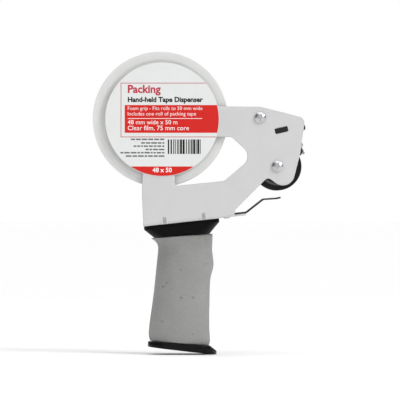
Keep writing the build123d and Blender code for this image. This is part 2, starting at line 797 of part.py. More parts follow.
def make_brake_knob():
    """A lobed knob with a hex pocket for its threaded insert."""
    face = Circle(knob_radius)
    for i in range(knob_lobes):
        turn = 2 * pi * i / knob_lobes
        face -= Pos((knob_radius + 2.2) * cos(turn), (knob_radius + 2.2) * sin(turn)) * Circle(3.4)
    knob = slab(Pos(hub_x, hub_z) * face, knob_near, knob_far)
    knob = chamfer(knob.faces().sort_by(Axis.Y)[-1].edges(), 0.6)
    knob -= rod(hub_x, hub_z, 7.6, knob_far - 2.0, knob_far)
    knob -= slab(insert_face(), knob_near, knob_near + insert_height)
    knob -= rod(hub_x, hub_z, thread_radius + 0.4, knob_near, knob_far)
    return only_solid(knob)


def insert_face():
    return Pos(hub_x, hub_z) * RegularPolygon(insert_flats / 2, 6, major_radius=False)


def make_knob_insert():
    nut = slab(insert_face(), knob_near, knob_near + insert_height)
    return only_solid(nut - rod(hub_x, hub_z, thread_radius + running_clearance, knob_near, knob_far))


def brake_washer(radius, near, far):
    return only_solid(ring(hub_x, hub_z, radius, thread_radius + running_clearance, near, far))


# ---- tape and label
def make_tape_core():
    return only_solid(ring(hub_x, hub_z, core_bore / 2 + core_wall, core_bore / 2, roll_near, -roll_near))


def make_tape_roll():
    return only_solid(ring(hub_x, hub_z, roll_diameter / 2, core_bore / 2 + core_wall, roll_near, -roll_near))


def make_label_card():
    across_x, up = label_offset
    return only_solid(rod(hub_x + across_x, hub_z + up, label_radius, -cheek_outer - label_thickness, -cheek_outer))


parts = {
    "side_frame": make_side_frame(),
    "far_cheek": make_far_cheek(),
    "cheek_rivets": make_cheek_rivets(),
    "upper_spacer": tapped_bar(spacer_x, spacer_z, spacer_radius),
    "roller_axle": tapped_bar(roller_x, roller_z, axle_radius),
    "roller_core": make_roller_core(),
    "roller_tyre": make_roller_tyre(),
    "roller_washers": make_roller_washers(),
    "head_screws": make_head_screws(),
    "blade_holder": make_blade_holder(),
    "cutter_blade": make_cutter_blade(),
    "blade_screws": make_blade_screws(),
    "guide_tongue": make_guide_tongue(),
    "tongue_rivets": make_tongue_rivets(),
    "handle_core": make_handle_core(),
    "grip_sleeve": make_grip_sleeve(),
    "base_cap": make_base_cap(),
    "cap_screw": make_cap_screw(),
    "handle_screws": make_handle_screws(),
    "hub_stud": make_hub_stud(),
    "friction_disc": only_solid(ring(hub_x, hub_z, friction_radius, stud_radius, -cheek_inner,
                                     -cheek_inner + friction_thickness)),
    "hub": make_hub(),
    "spring_seat": brake_washer(hub_boss_radius, seat_near, seat_far),
    "brake_spring": make_brake_spring(),
    "brake_pusher": brake_washer(pusher_radius, pusher_near, knob_near),
    "brake_knob": make_brake_knob(),
    "knob_insert": make_knob_insert(),
    "tape_core": make_tape_core(),
    "tape_roll": make_tape_roll(),
    "label_card": make_label_card(),
}

os.makedirs("parts", exist_ok=True)
for name, shape in parts.items():
    shape.label = name
    export_step(shape, f"parts/{name}.step")
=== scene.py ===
import math
import random
import bpy
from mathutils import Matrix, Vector


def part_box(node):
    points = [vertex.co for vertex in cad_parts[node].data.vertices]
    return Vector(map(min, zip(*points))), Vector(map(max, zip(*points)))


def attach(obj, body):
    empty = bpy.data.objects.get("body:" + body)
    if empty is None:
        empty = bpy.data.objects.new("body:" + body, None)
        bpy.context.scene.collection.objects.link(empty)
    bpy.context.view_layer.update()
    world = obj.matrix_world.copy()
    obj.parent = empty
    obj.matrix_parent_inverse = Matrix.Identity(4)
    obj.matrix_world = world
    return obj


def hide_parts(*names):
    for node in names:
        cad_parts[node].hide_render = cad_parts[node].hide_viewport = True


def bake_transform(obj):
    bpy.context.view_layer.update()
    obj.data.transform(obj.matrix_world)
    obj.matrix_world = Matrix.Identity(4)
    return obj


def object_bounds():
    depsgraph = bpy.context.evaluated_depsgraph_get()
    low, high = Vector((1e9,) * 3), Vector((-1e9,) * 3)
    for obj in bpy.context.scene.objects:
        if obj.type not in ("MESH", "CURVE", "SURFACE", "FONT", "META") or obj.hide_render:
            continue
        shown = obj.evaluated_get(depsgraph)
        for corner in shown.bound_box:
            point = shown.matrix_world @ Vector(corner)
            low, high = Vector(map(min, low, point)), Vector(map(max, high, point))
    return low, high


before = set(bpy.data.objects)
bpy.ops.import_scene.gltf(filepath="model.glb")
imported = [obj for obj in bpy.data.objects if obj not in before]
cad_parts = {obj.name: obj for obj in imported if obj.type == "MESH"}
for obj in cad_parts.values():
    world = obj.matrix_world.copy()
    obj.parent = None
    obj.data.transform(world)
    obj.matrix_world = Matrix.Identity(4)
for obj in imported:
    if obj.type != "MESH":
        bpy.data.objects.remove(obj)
cadLow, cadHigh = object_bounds()
print("frame loaded")

mm = 0.001


# small helpers
def deselectAll():
    if bpy.context.object and bpy.context.object.mode != "OBJECT":
        bpy.ops.object.mode_set(mode="OBJECT")
    bpy.ops.object.select_all(action="DESELECT")


def pick(piece):
    deselectAll()
    piece.select_set(True)
    bpy.context.view_layer.objects.active = piece


def settle(piece):
    # leaves the piece at the origin, unturned and unscaled, with its place in its mesh
    pick(piece)
    bpy.ops.object.transform_apply(location=True, rotation=True, scale=True)


def applyModifier(piece, kind, **values):
    modifier = piece.modifiers.new(kind.title(), kind)
    for key, value in values.items():
        setattr(modifier, key, value)
    pick(piece)
    bpy.ops.object.modifier_apply(modifier=modifier.name)


def smooth(piece, degrees):
    pick(piece)
    bpy.ops.object.shade_smooth_by_angle(angle=math.radians(degrees))


def joinPieces(pieces, name):
    deselectAll()
    for piece in pieces:
        piece.select_set(True)
    bpy.context.view_layer.objects.active = pieces[0]
    if len(pieces) > 1:
        bpy.ops.object.join()
    joined = bpy.context.object
    joined.name = name
    return joined


def chooseVerts(piece, test):
    # selects the vertices whose place passes the test, and stays in edit mode
    bpy.ops.object.mode_set(mode="EDIT")
    bpy.ops.mesh.select_mode(type="VERT")
    bpy.ops.mesh.select_all(action="DESELECT")
    bpy.ops.object.mode_set(mode="OBJECT")
    for vert in piece.data.vertices:
        vert.select = test(vert.co)
    bpy.ops.object.mode_set(mode="EDIT")


def middle(node):
    low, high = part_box(node)
    return (low + high) / 2


def finishPiece(piece, body, material):
    piece.data.materials.clear()
    piece.data.materials.append(material)
    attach(piece, body)


# places read from the frame
hubPlace = middle("tape_core")
cardLow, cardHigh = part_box("label_card")
cardPlace = (cardLow + cardHigh) / 2
cardRadius = (cardHigh.x - cardLow.x) / 2
rollLow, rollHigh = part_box("tape_roll")
coreLow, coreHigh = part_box("tape_core")


# node groups shared by the materials
def newGroup(name, inputs, outputs):
    group = bpy.data.node_groups.new(name, "ShaderNodeTree")
    for label, kind, value in inputs:
        socket = group.interface.new_socket(name=label, in_out="INPUT", socket_type=kind)
        socket.default_value = value
    for label, kind in outputs:
        group.interface.new_socket(name=label, in_out="OUTPUT", socket_type=kind)
    start = group.nodes.new("NodeGroupInput")
    end = group.nodes.new("NodeGroupOutput")
    return group, start, end


def addNode(tree, kind, **values):
    node = tree.nodes.new(kind)
    for key, value in values.items():
        if key in node.inputs:
            node.inputs[key].default_value = value
        else:
            setattr(node, key, value)
    return node


def addMath(tree, operation, first, second=None):
    node = tree.nodes.new("ShaderNodeMath")
    node.operation = operation
    for index, value in enumerate((first, second)):
        if value is None:
            continue
        if isinstance(value, (int, float)):
            node.inputs[index].default_value = value
        else:
            tree.links.new(value, node.inputs[index])
    return node.outputs[0]


def addRamp(tree, factor, stops):
    ramp = tree.nodes.new("ShaderNodeValToRGB")
    elements = ramp.color_ramp.elements
    while len(elements) < len(stops):
        elements.new(0.5)
    for element, (place, value) in zip(elements, stops):
        element.position = place
        element.color = (value, value, value, 1) if isinstance(value, (int, float)) else (*value, 1)
    tree.links.new(factor, ramp.inputs["Fac"])
    return ramp.outputs["Color"]


def addNoise(tree, vector, scale, detail=3.0, roughness=0.55, distortion=0.0):
    noise = tree.nodes.new("ShaderNodeTexNoise")
    noise.inputs["Detail"].default_value = detail
    noise.inputs["Roughness"].default_value = roughness
    noise.inputs["Distortion"].default_value = distortion
    if isinstance(scale, (int, float)):
        noise.inputs["Scale"].default_value = scale
    else:
        tree.links.new(scale, noise.inputs["Scale"])
    tree.links.new(vector, noise.inputs["Vector"])
    return noise.outputs["Fac"]


def objectPlace(tree):
    return tree.nodes.new("ShaderNodeTexCoord").outputs["Object"]


def makeGrainGroup():
    # fine moulded or painted texture, and a slow mottle over it
    group, start, end = newGroup(
        "fineGrain",
        [("Grain Scale", "NodeSocketFloat", 900.0), ("Mottle Scale", "NodeSocketFloat", 45.0)],
        [("Height", "NodeSocketFloat"), ("Mottle", "NodeSocketFloat")])
    place = objectPlace(group)
    fine = addNoise(group, place, start.outputs["Grain Scale"], 4.0, 0.6)
    slow = addNoise(group, place, start.outputs["Mottle Scale"], 4.0, 0.6, 0.4)
    group.links.new(fine, end.inputs["Height"])
    group.links.new(slow, end.inputs["Mottle"])
    return group


def makeWearGroup():
    # where edges are rubbed: the rounded normal leaves the flat one, broken up by noise
    group, start, end = newGroup(
        "edgeWear",
        [("Radius", "NodeSocketFloat", 0.0006), ("Breakup Scale", "NodeSocketFloat", 260.0),
         ("Amount", "NodeSocketFloat", 0.6)],
        [("Wear", "NodeSocketFloat")])
    bevel = addNode(group, "ShaderNodeBevel", samples=4)
    group.links.new(start.outputs["Radius"], bevel.inputs["Radius"])
    geometry = group.nodes.new("ShaderNodeNewGeometry")
    dot = addNode(group, "ShaderNodeVectorMath", operation="DOT_PRODUCT")
    group.links.new(bevel.outputs["Normal"], dot.inputs[0])
    group.links.new(geometry.outputs["Normal"], dot.inputs[1])
    edge = addRamp(group, dot.outputs["Value"], [(0.80, 1.0), (0.985, 0.0)])
    noise = addNoise(group, objectPlace(group), start.outputs["Breakup Scale"], 5.0, 0.65)
    broken = addRamp(group, noise, [(0.42, 0.0), (0.62, 1.0)])
    wear = addMath(group, "MULTIPLY", edge, broken)
    group.links.new(addMath(group, "MULTIPLY", wear, start.outputs["Amount"]), end.inputs["Wear"])
    return group


def makeDustGroup():
    # a thin film of dust on what faces up, in soft patches
    group, start, end = newGroup(
        "settledDust", [("Amount", "NodeSocketFloat", 0.2), ("Patch Scale", "NodeSocketFloat", 60.0)],
        [("Dust", "NodeSocketFloat")])
    geometry = group.nodes.new("ShaderNodeNewGeometry")
    split = group.nodes.new("ShaderNodeSeparateXYZ")
    group.links.new(geometry.outputs["Normal"], split.inputs[0])
    upward = addRamp(group, split.outputs["Z"], [(0.35, 0.0), (1.0, 1.0)])
    patches = addNoise(group, objectPlace(group), start.outputs["Patch Scale"], 6.0, 0.7)
    specks = addRamp(group, patches, [(0.40, 0.15), (0.70, 1.0)])
    dust = addMath(group, "MULTIPLY", upward, specks)
    group.links.new(addMath(group, "MULTIPLY", dust, start.outputs["Amount"]), end.inputs["Dust"])
    return group


def makeBrushGroup():
    # long fine lines left by grinding or drawing; the lines run along the least stretched axis
    group, start, end = newGroup(
        "brushLines", [("Stretch", "NodeSocketVector", (4000.0, 60.0, 4000.0))],
        [("Height", "NodeSocketFloat"), ("Streak", "NodeSocketFloat")])
    scaled = addNode(group, "ShaderNodeVectorMath", operation="MULTIPLY")
    group.links.new(objectPlace(group), scaled.inputs[0])
    group.links.new(start.outputs["Stretch"], scaled.inputs[1])
    lines = addNoise(group, scaled.outputs[0], 1.0, 3.0, 0.6)
    broad = addNode(group, "ShaderNodeVectorMath", operation="SCALE", Scale=0.22)
    group.links.new(scaled.outputs[0], broad.inputs[0])
    streak = addNoise(group, broad.outputs[0], 1.0, 2.0, 0.5)
    group.links.new(lines, end.inputs["Height"])
    group.links.new(streak, end.inputs["Streak"])
    return group


def makeRingGroup():
    # wound layers: tone and height depend on the distance from the roll's axis
    group, start, end = newGroup(
        "woundLayers", [("Layer Scale", "NodeSocketFloat", 1500.0)],
        [("Height", "NodeSocketFloat"), ("Tone", "NodeSocketFloat")])
    centred = addNode(group, "ShaderNodeMapping")
    centred.inputs["Location"].default_value = (-hubPlace.x, 0, -hubPlace.z)
    group.links.new(objectPlace(group), centred.inputs["Vector"])
    split = group.nodes.new("ShaderNodeSeparateXYZ")
    group.links.new(centred.outputs[0], split.inputs[0])
    across = addMath(group, "MULTIPLY", split.outputs["X"], split.outputs["X"])
    up = addMath(group, "MULTIPLY", split.outputs["Z"], split.outputs["Z"])
    reach = addMath(group, "SQRT", addMath(group, "ADD", across, up))
    wobble = addNoise(group, objectPlace(group), 22.0, 2.0)
    reach = addMath(group, "ADD", reach, addMath(group, "MULTIPLY", wobble, 0.0004))
    line = group.nodes.new("ShaderNodeCombineXYZ")
    group.links.new(addMath(group, "MULTIPLY", reach, start.outputs["Layer Scale"]), line.inputs["X"])
    fine = addNoise(group, line.outputs[0], 2.2, 3.0, 0.7)
    slowLine = addNode(group, "ShaderNodeVectorMath", operation="SCALE", Scale=0.17)
    group.links.new(line.outputs[0], slowLine.inputs[0])
    slow = addNoise(group, slowLine.outputs[0], 1.6, 3.0, 0.6)
    group.links.new(fine, end.inputs["Height"])
    group.links.new(slow, end.inputs["Tone"])
    return group


def makeFoamGroup():
    # closed foam: a fine cell texture, a soft mottle, and a few larger open pits
    group, start, end = newGroup(
        "foamCells", [("Cell Scale", "NodeSocketFloat", 1500.0), ("Pit Scale", "NodeSocketFloat", 210.0)],
        [("Height", "NodeSocketFloat"), ("Mottle", "NodeSocketFloat"), ("Pits", "NodeSocketFloat")])
    place = objectPlace(group)
    cells = addNode(group, "ShaderNodeTexVoronoi", feature="F1")
    group.links.new(place, cells.inputs["Vector"])
    group.links.new(start.outputs["Cell Scale"], cells.inputs["Scale"])
    cellHeight = addRamp(group, cells.outputs["Distance"], [(0.05, 0.0), (0.55, 1.0)])
    soft = addNoise(group, place, 420.0, 5.0, 0.7)
    body = addMath(group, "ADD", addMath(group, "MULTIPLY", cellHeight, 0.45), soft)
    bent = addNode(group, "ShaderNodeVectorMath", operation="ADD")
    drift = addNode(group, "ShaderNodeTexNoise", Scale=260.0, Detail=2.0)
    group.links.new(place, drift.inputs["Vector"])
    push = addNode(group, "ShaderNodeVectorMath", operation="SCALE", Scale=0.0022)
    group.links.new(drift.outputs["Color"], push.inputs[0])
    group.links.new(place, bent.inputs[0])
    group.links.new(push.outputs[0], bent.inputs[1])
    pitCells = addNode(group, "ShaderNodeTexVoronoi", feature="F1", Randomness=1.0)
    group.links.new(bent.outputs[0], pitCells.inputs["Vector"])
    group.links.new(start.outputs["Pit Scale"], pitCells.inputs["Scale"])
    split = group.nodes.new("ShaderNodeSeparateColor")
    group.links.new(pitCells.outputs["Color"], split.inputs[0])
    chosen = addMath(group, "GREATER_THAN", split.outputs["Red"], 0.86)
    bowl = addRamp(group, pitCells.outputs["Distance"], [(0.08, 1.0), (0.24, 0.0)])
    pits = addMath(group, "MULTIPLY", chosen, bowl)
    height = addMath(group, "SUBTRACT", body, addMath(group, "MULTIPLY", pits, 2.2))
    mottle = addNoise(group, place, 70.0, 5.0, 0.65, 0.6)
    group.links.new(height, end.inputs["Height"])
    group.links.new(mottle, end.inputs["Mottle"])
    group.links.new(pits, end.inputs["Pits"])
    return group


grainGroup = makeGrainGroup()
wearGroup = makeWearGroup()
dustGroup = makeDustGroup()
brushGroup = makeBrushGroup()
ringGroup = makeRingGroup()
foamGroup = makeFoamGroup()
print("node groups ready")


# materials
def newMaterial(name, sockets):
    material = bpy.data.materials.new(name)
    material.use_nodes = True
    tree = material.node_tree
    shader = tree.nodes["Principled BSDF"]
    for label, value in sockets.items():
        shader.inputs[label].default_value = value
    return material, tree, shader


def placeGroup(tree, group, sockets=None):
    node = tree.nodes.new("ShaderNodeGroup")
    node.node_tree = group
    for label, value in (sockets or {}).items():
        node.inputs[label].default_value = value
    return node


def mixColours(tree, factor, first, second):
    mix = tree.nodes.new("ShaderNodeMix")
    mix.data_type = "RGBA"
    if isinstance(factor, float):
        mix.inputs["Factor"].default_value = factor
    else:
        tree.links.new(factor, mix.inputs["Factor"])
    for socket, value in ((mix.inputs[6], first), (mix.inputs[7], second)):
        if isinstance(value, tuple):
            socket.default_value = (*value, 1)
        else:
            tree.links.new(value, socket)
    return mix.outputs[2]


def bumpFrom(tree, shader, height, strength, distance, rounding=0.0):
    bump = addNode(tree, "ShaderNodeBump", Strength=strength, Distance=distance)
    tree.links.new(height, bump.inputs["Height"])
    if rounding:
        bevel = addNode(tree, "ShaderNodeBevel", samples=4, Radius=rounding)
        tree.links.new(bevel.outputs["Normal"], bump.inputs["Normal"])
    tree.links.new(bump.outputs["Normal"], shader.inputs["Normal"])


def spread(tree, factor, low, high):
    # maps a 0 to 1 texture onto a range, for roughness
    ramp = tree.nodes.new("ShaderNodeMapRange")
    ramp.inputs["From Min"].default_value = 0.3
    ramp.inputs["From Max"].default_value = 0.7
    ramp.inputs["To Min"].default_value = low
    ramp.inputs["To Max"].default_value = high
    tree.links.new(factor, ramp.inputs["Value"])
    return ramp.outputs["Result"]


def dress(tree, shader, colour, mottle, roughness):
    # every finish has a colour, and a roughness that drifts with its mottle
    tree.links.new(colour, shader.inputs["Base Color"])
    tree.links.new(spread(tree, mottle, *roughness), shader.inputs["Roughness"])


paintValues = {
    "colour": (0.555, 0.555, 0.56), "mottled": (0.525, 0.525, 0.53), "bare": (0.42, 0.41, 0.40),
    "dust": (0.50, 0.485, 0.46), "roughness": (0.34, 0.50), "peelStrength": 0.10, "peelDepth": 0.0002,
    "rounding": 0.0006, "coat": 0.12, "coatRoughness": 0.25,
    "peelScale": 620.0, "mottleScale": 26.0, "wearRadius": 0.0005, "wearScale": 330.0, "wear": 0.5,
    "dustAmount": 0.35,
}


def makeFramePaint():
    # stoved grey paint with a faint orange peel, rubbed at the sheet's edges
    values = paintValues
    material, tree, shader = newMaterial(
        "framePaint", {"Coat Weight": values["coat"], "Coat Roughness": values["coatRoughness"]})
    grain = placeGroup(tree, grainGroup, {
        "Grain Scale": values["peelScale"], "Mottle Scale": values["mottleScale"]})
    wear = placeGroup(tree, wearGroup, {
        "Radius": values["wearRadius"], "Breakup Scale": values["wearScale"], "Amount": values["wear"]})
    dust = placeGroup(tree, dustGroup, {"Amount": values["dustAmount"]})
    colour = mixColours(tree, addRamp(tree, grain.outputs["Mottle"], [(0.35, 0.0), (0.70, 1.0)]),
                        values["colour"], values["mottled"])
    colour = mixColours(tree, wear.outputs["Wear"], colour, values["bare"])
    colour = mixColours(tree, dust.outputs["Dust"], colour, values["dust"])
    dress(tree, shader, colour, grain.outputs["Mottle"], values["roughness"])
    bumpFrom(tree, shader, grain.outputs["Height"], values["peelStrength"], values["peelDepth"],
             values["rounding"])
    return material


def makeMetal(name, values):
    # bare or plated steel and brass, with lines along one axis and rubbed edges
    material, tree, shader = newMaterial(name, {"Metallic": 1.0})
    brush = placeGroup(tree, brushGroup, {"Stretch": values["stretch"]})
    wear = placeGroup(tree, wearGroup, {"Radius": 0.0003, "Breakup Scale": 500.0, "Amount": 0.7})
    grain = placeGroup(tree, grainGroup, {"Grain Scale": 400.0, "Mottle Scale": 90.0})
    colour = mixColours(tree, brush.outputs["Streak"], values["colour"], values["dark"])
    colour = mixColours(tree, wear.outputs["Wear"], colour, values["bright"])
    dress(tree, shader, colour, grain.outputs["Mottle"], values["roughness"])
    bumpFrom(tree, shader, brush.outputs["Height"], values["bump"], 0.0001, values["rounding"])
    return material


metalValues = {
    "platedSteel": {"colour": (0.60, 0.60, 0.61), "dark": (0.46, 0.46, 0.48), "bright": (0.75, 0.75, 0.75),
                    "stretch": (900.0, 160.0, 900.0), "roughness": (0.24, 0.40), "bump": 0.10,
                    "rounding": 0.0002},
    "brightScrew": {"colour": (0.58, 0.58, 0.59), "dark": (0.42, 0.42, 0.44), "bright": (0.80, 0.80, 0.80),
                    "stretch": (700.0, 700.0, 700.0), "roughness": (0.16, 0.30), "bump": 0.06,
                    "rounding": 0.0003},
    "bladeSteel": {"colour": (0.56, 0.57, 0.59), "dark": (0.40, 0.41, 0.43), "bright": (0.86, 0.86, 0.88),
                   "stretch": (5000.0, 90.0, 5000.0), "roughness": (0.20, 0.34), "bump": 0.16,
                   "rounding": 0.0001},
    "springWire": {"colour": (0.42, 0.42, 0.44), "dark": (0.30, 0.30, 0.32), "bright": (0.60, 0.60, 0.60),
                   "stretch": (600.0, 2400.0, 600.0), "roughness": (0.28, 0.42), "bump": 0.10,
                   "rounding": 0.0001},
    "insertBrass": {"colour": (0.71, 0.50, 0.22), "dark": (0.52, 0.36, 0.15), "bright": (0.86, 0.68, 0.36),
                    "stretch": (1800.0, 200.0, 1800.0), "roughness": (0.22, 0.36), "bump": 0.10,
                    "rounding": 0.0002},
}


def makePlastic(name, values):
    # moulded plastic or blackened strip: spark-eroded grain, rubbed edges and a little dust
    material, tree, shader = newMaterial(name, {
        "Specular IOR Level": values["specular"], "Coat Weight": values["coat"], "Coat Roughness": 0.05})
    grain = placeGroup(tree, grainGroup, {"Grain Scale": values["grainScale"], "Mottle Scale": 60.0})
    wear = placeGroup(tree, wearGroup, {
        "Radius": 0.0006, "Breakup Scale": 420.0, "Amount": values["wear"]})
    dust = placeGroup(tree, dustGroup, {"Amount": values["dust"]})
    colour = mixColours(tree, grain.outputs["Mottle"], values["colour"], values["mottled"])
    colour = mixColours(tree, wear.outputs["Wear"], colour, values["rubbed"])
    colour = mixColours(tree, dust.outputs["Dust"], colour, (0.30, 0.29, 0.27))
    dress(tree, shader, colour, grain.outputs["Mottle"], values["roughness"])
    bumpFrom(tree, shader, grain.outputs["Height"], values["bump"], 0.0002, values["rounding"])
    return material


plasticValues = {
    "neckPlastic": {
        "colour": (0.0030, 0.0030, 0.0033), "mottled": (0.0045, 0.0045, 0.0048),
        "rubbed": (0.03, 0.03, 0.03), "specular": 0.06, "coat": 0.0, "grainScale": 1300.0,
        "wear": 0.3, "dust": 0.02, "roughness": (0.42, 0.56), "bump": 0.22, "rounding": 0.0009,
    },
    "holderPlastic": {
        "colour": (0.007, 0.007, 0.0075), "mottled": (0.011, 0.011, 0.012),
        "rubbed": (0.06, 0.06, 0.06), "specular": 0.25, "coat": 0.0, "grainScale": 1500.0,
        "wear": 0.35, "dust": 0.05, "roughness": (0.36, 0.50), "bump": 0.16, "rounding": 0.0005,
    },
    "hubPlastic": {
        "colour": (0.035, 0.036, 0.038), "mottled": (0.050, 0.051, 0.054),
        "rubbed": (0.12, 0.12, 0.12), "specular": 0.45, "coat": 0.0, "grainScale": 1100.0,
        "wear": 0.3, "dust": 0.12, "roughness": (0.34, 0.50), "bump": 0.14, "rounding": 0.0005,
    },
    "knobPlastic": {
        "colour": (0.020, 0.020, 0.022), "mottled": (0.032, 0.032, 0.034),
        "rubbed": (0.13, 0.13, 0.13), "specular": 0.5, "coat": 0.0, "grainScale": 1500.0,
        "wear": 0.5, "dust": 0.06, "roughness": (0.32, 0.46), "bump": 0.20, "rounding": 0.0006,
    },
    "rollerPlastic": {
        "colour": (0.060, 0.060, 0.064), "mottled": (0.085, 0.085, 0.088),
        "rubbed": (0.16, 0.16, 0.16), "specular": 0.45, "coat": 0.0, "grainScale": 1200.0,
        "wear": 0.3, "dust": 0.08, "roughness": (0.38, 0.52), "bump": 0.12, "rounding": 0.0004,
    },
    "naturalNylon": {
        "colour": (0.72, 0.70, 0.62), "mottled": (0.66, 0.64, 0.56), "rubbed": (0.80, 0.79, 0.74),
        "specular": 0.5, "coat": 0.0, "grainScale": 900.0, "wear": 0.3, "dust": 0.05,
        "roughness": (0.36, 0.48), "bump": 0.08, "rounding": 0.0003,
    },
    "blackStrip": {
        "colour": (0.012, 0.012, 0.013), "mottled": (0.022, 0.022, 0.024),
        "rubbed": (0.20, 0.20, 0.20), "specular": 0.35, "coat": 0.05, "grainScale": 700.0,
        "wear": 0.55, "dust": 0.08, "roughness": (0.26, 0.42), "bump": 0.10, "rounding": 0.0003,
    },
    "glossBlack": {
        "colour": (0.0030, 0.0030, 0.0033), "mottled": (0.0042, 0.0042, 0.0045),
        "rubbed": (0.02, 0.02, 0.02), "specular": 0.05, "coat": 0.15, "grainScale": 260.0,
        "wear": 0.3, "dust": 0.015, "roughness": (0.10, 0.20), "bump": 0.03, "rounding": 0.0002,
    },
}


rubberValues = {
    "colour": (0.006, 0.006, 0.006), "mottled": (0.010, 0.010, 0.0097), "film": (0.06, 0.06, 0.057),
    "roughness": (0.44, 0.62),
}


def makeRollerRubber():
    # ground rubber: fine lines round the tread, dust pressed in on what faces up
    values = rubberValues
    material, tree, shader = newMaterial("rollerRubber", {"Specular IOR Level": 0.15})
    grain = placeGroup(tree, grainGroup, {"Grain Scale": 1400.0, "Mottle Scale": 120.0})
    brush = placeGroup(tree, brushGroup, {"Stretch": (90.0, 3200.0, 90.0)})
    wear = placeGroup(tree, wearGroup, {"Radius": 0.0006, "Breakup Scale": 500.0, "Amount": 0.6})
    dust = placeGroup(tree, dustGroup, {"Amount": 0.08})
    colour = mixColours(tree, grain.outputs["Mottle"], values["colour"], values["mottled"])
    colour = mixColours(tree, wear.outputs["Wear"], colour, values["film"])
    colour = mixColours(tree, dust.outputs["Dust"], colour, values["film"])
    dress(tree, shader, colour, grain.outputs["Mottle"], values["roughness"])
    height = addMath(tree, "ADD", grain.outputs["Height"], brush.outputs["Height"])
    bumpFrom(tree, shader, height, 0.25, 0.0002, 0.0004)
    return material


foamValues = {
    # the darker pit colour is painted shade: the foam is drawn darker inside its pits
    "colour": (0.310, 0.309, 0.305), "mottled": (0.262, 0.261, 0.258), "pitShade": (0.225, 0.225, 0.222),
    "speckLight": (0.335, 0.334, 0.330), "speckDark": (0.235, 0.234, 0.231), "speckShare": 0.45,
    "cellStrength": 0.7, "cellDepth": 0.0009, "roughness": (0.86, 0.98),
}


def makeGripFoam():
    # grey closed-cell foam
    values = foamValues
    material, tree, shader = newMaterial("gripFoam", {
        "Specular IOR Level": 0.2, "Sheen Weight": 0.25, "Sheen Roughness": 0.6})
    foam = placeGroup(tree, foamGroup)
    colour = mixColours(tree, addRamp(tree, foam.outputs["Mottle"], [(0.30, 0.0), (0.72, 1.0)]),
                        values["colour"], values["mottled"])
    grain = placeGroup(tree, grainGroup, {"Grain Scale": 1500.0, "Mottle Scale": 300.0})
    specks = mixColours(tree, addRamp(tree, grain.outputs["Height"], [(0.38, 0.0), (0.62, 1.0)]),
                        values["speckDark"], values["speckLight"])
    colour = mixColours(tree, values["speckShare"], colour, specks)
    # painted shade: the pits are drawn darker than the foam around them, on top of their bump
    colour = mixColours(tree, foam.outputs["Pits"], colour, values["pitShade"])
    dress(tree, shader, colour, foam.outputs["Mottle"], values["roughness"])
    bumpFrom(tree, shader, foam.outputs["Height"], values["cellStrength"], values["cellDepth"])
    return material


filmValues = {
    "side": (0.730, 0.735, 0.725), "sideDark": (0.600, 0.605, 0.595), "rough": (0.30, 0.42),
    "tread": (0.640, 0.640, 0.610), "treadDark": (0.500, 0.495, 0.460), "treadGloss": (0.08, 0.20),
}


def makeTapeFilm():
    # wound film: pale grey from its many clear layers, ringed on its sides,
    # glossy on its tread with trapped air
    values = filmValues
    material, tree, shader = newMaterial("tapeFilm", {"Coat Weight": 0.4, "Coat Roughness": 0.08})
    rings = placeGroup(tree, ringGroup)
    grain = placeGroup(tree, grainGroup, {"Grain Scale": 300.0, "Mottle Scale": 35.0})
    air = placeGroup(tree, grainGroup, {"Grain Scale": 190.0, "Mottle Scale": 75.0})
    tone = addMath(tree, "ADD", addMath(tree, "MULTIPLY", rings.outputs["Tone"], 0.7),
                   addMath(tree, "MULTIPLY", grain.outputs["Mottle"], 0.3))
    side = mixColours(tree, addRamp(tree, tone, [(0.35, 0.0), (0.65, 1.0)]),
                      values["side"], values["sideDark"])
    bubbles = addMath(tree, "ADD", air.outputs["Height"], air.outputs["Mottle"])
    trapped = addMath(tree, "MULTIPLY", bubbles, 0.5)
    tread = mixColours(tree, addRamp(tree, trapped, [(0.40, 0.0), (0.60, 1.0)]),
                       values["tread"], values["treadDark"])
    # the sides face along the axis, and the tread doesn't
    geometry = tree.nodes.new("ShaderNodeNewGeometry")
    split = tree.nodes.new("ShaderNodeSeparateXYZ")
    tree.links.new(geometry.outputs["Normal"], split.inputs[0])
    onSide = addRamp(tree, addMath(tree, "ABSOLUTE", split.outputs["Y"]), [(0.4, 0.0), (0.8, 1.0)])
    tree.links.new(mixColours(tree, onSide, tread, side), shader.inputs["Base Color"])
    sideRough = spread(tree, grain.outputs["Mottle"], *values["rough"])
    treadRough = spread(tree, air.outputs["Mottle"], *values["treadGloss"])
    tree.links.new(mixColours(tree, onSide, treadRough, sideRough), shader.inputs["Roughness"])
    height = addMath(tree, "ADD", rings.outputs["Height"], air.outputs["Mottle"])
    bumpFrom(tree, shader, height, 0.12, 0.0002)
    return material


boardValues = {"colour": (0.47, 0.345, 0.215), "dark": (0.34, 0.240, 0.145), "roughness": (0.78, 0.92)}


def makeCoreBoard():
    # grey-brown wound board with paper fibres
    values = boardValues
    material, tree, shader = newMaterial("coreBoard", {"Specular IOR Level": 0.2})
    rings = placeGroup(tree, ringGroup, {"Layer Scale": 900.0})
    grain = placeGroup(tree, grainGroup, {"Grain Scale": 1300.0, "Mottle Scale": 160.0})
    tone = addMath(tree, "ADD", rings.outputs["Height"], grain.outputs["Mottle"])
    tone = addMath(tree, "MULTIPLY", tone, 0.5)
    colour = mixColours(tree, addRamp(tree, tone, [(0.38, 0.0), (0.60, 1.0)]),
                        values["colour"], values["dark"])
    dress(tree, shader, colour, grain.outputs["Mottle"], values["roughness"])
    bumpFrom(tree, shader, grain.outputs["Height"], 0.35, 0.0002)
    return material


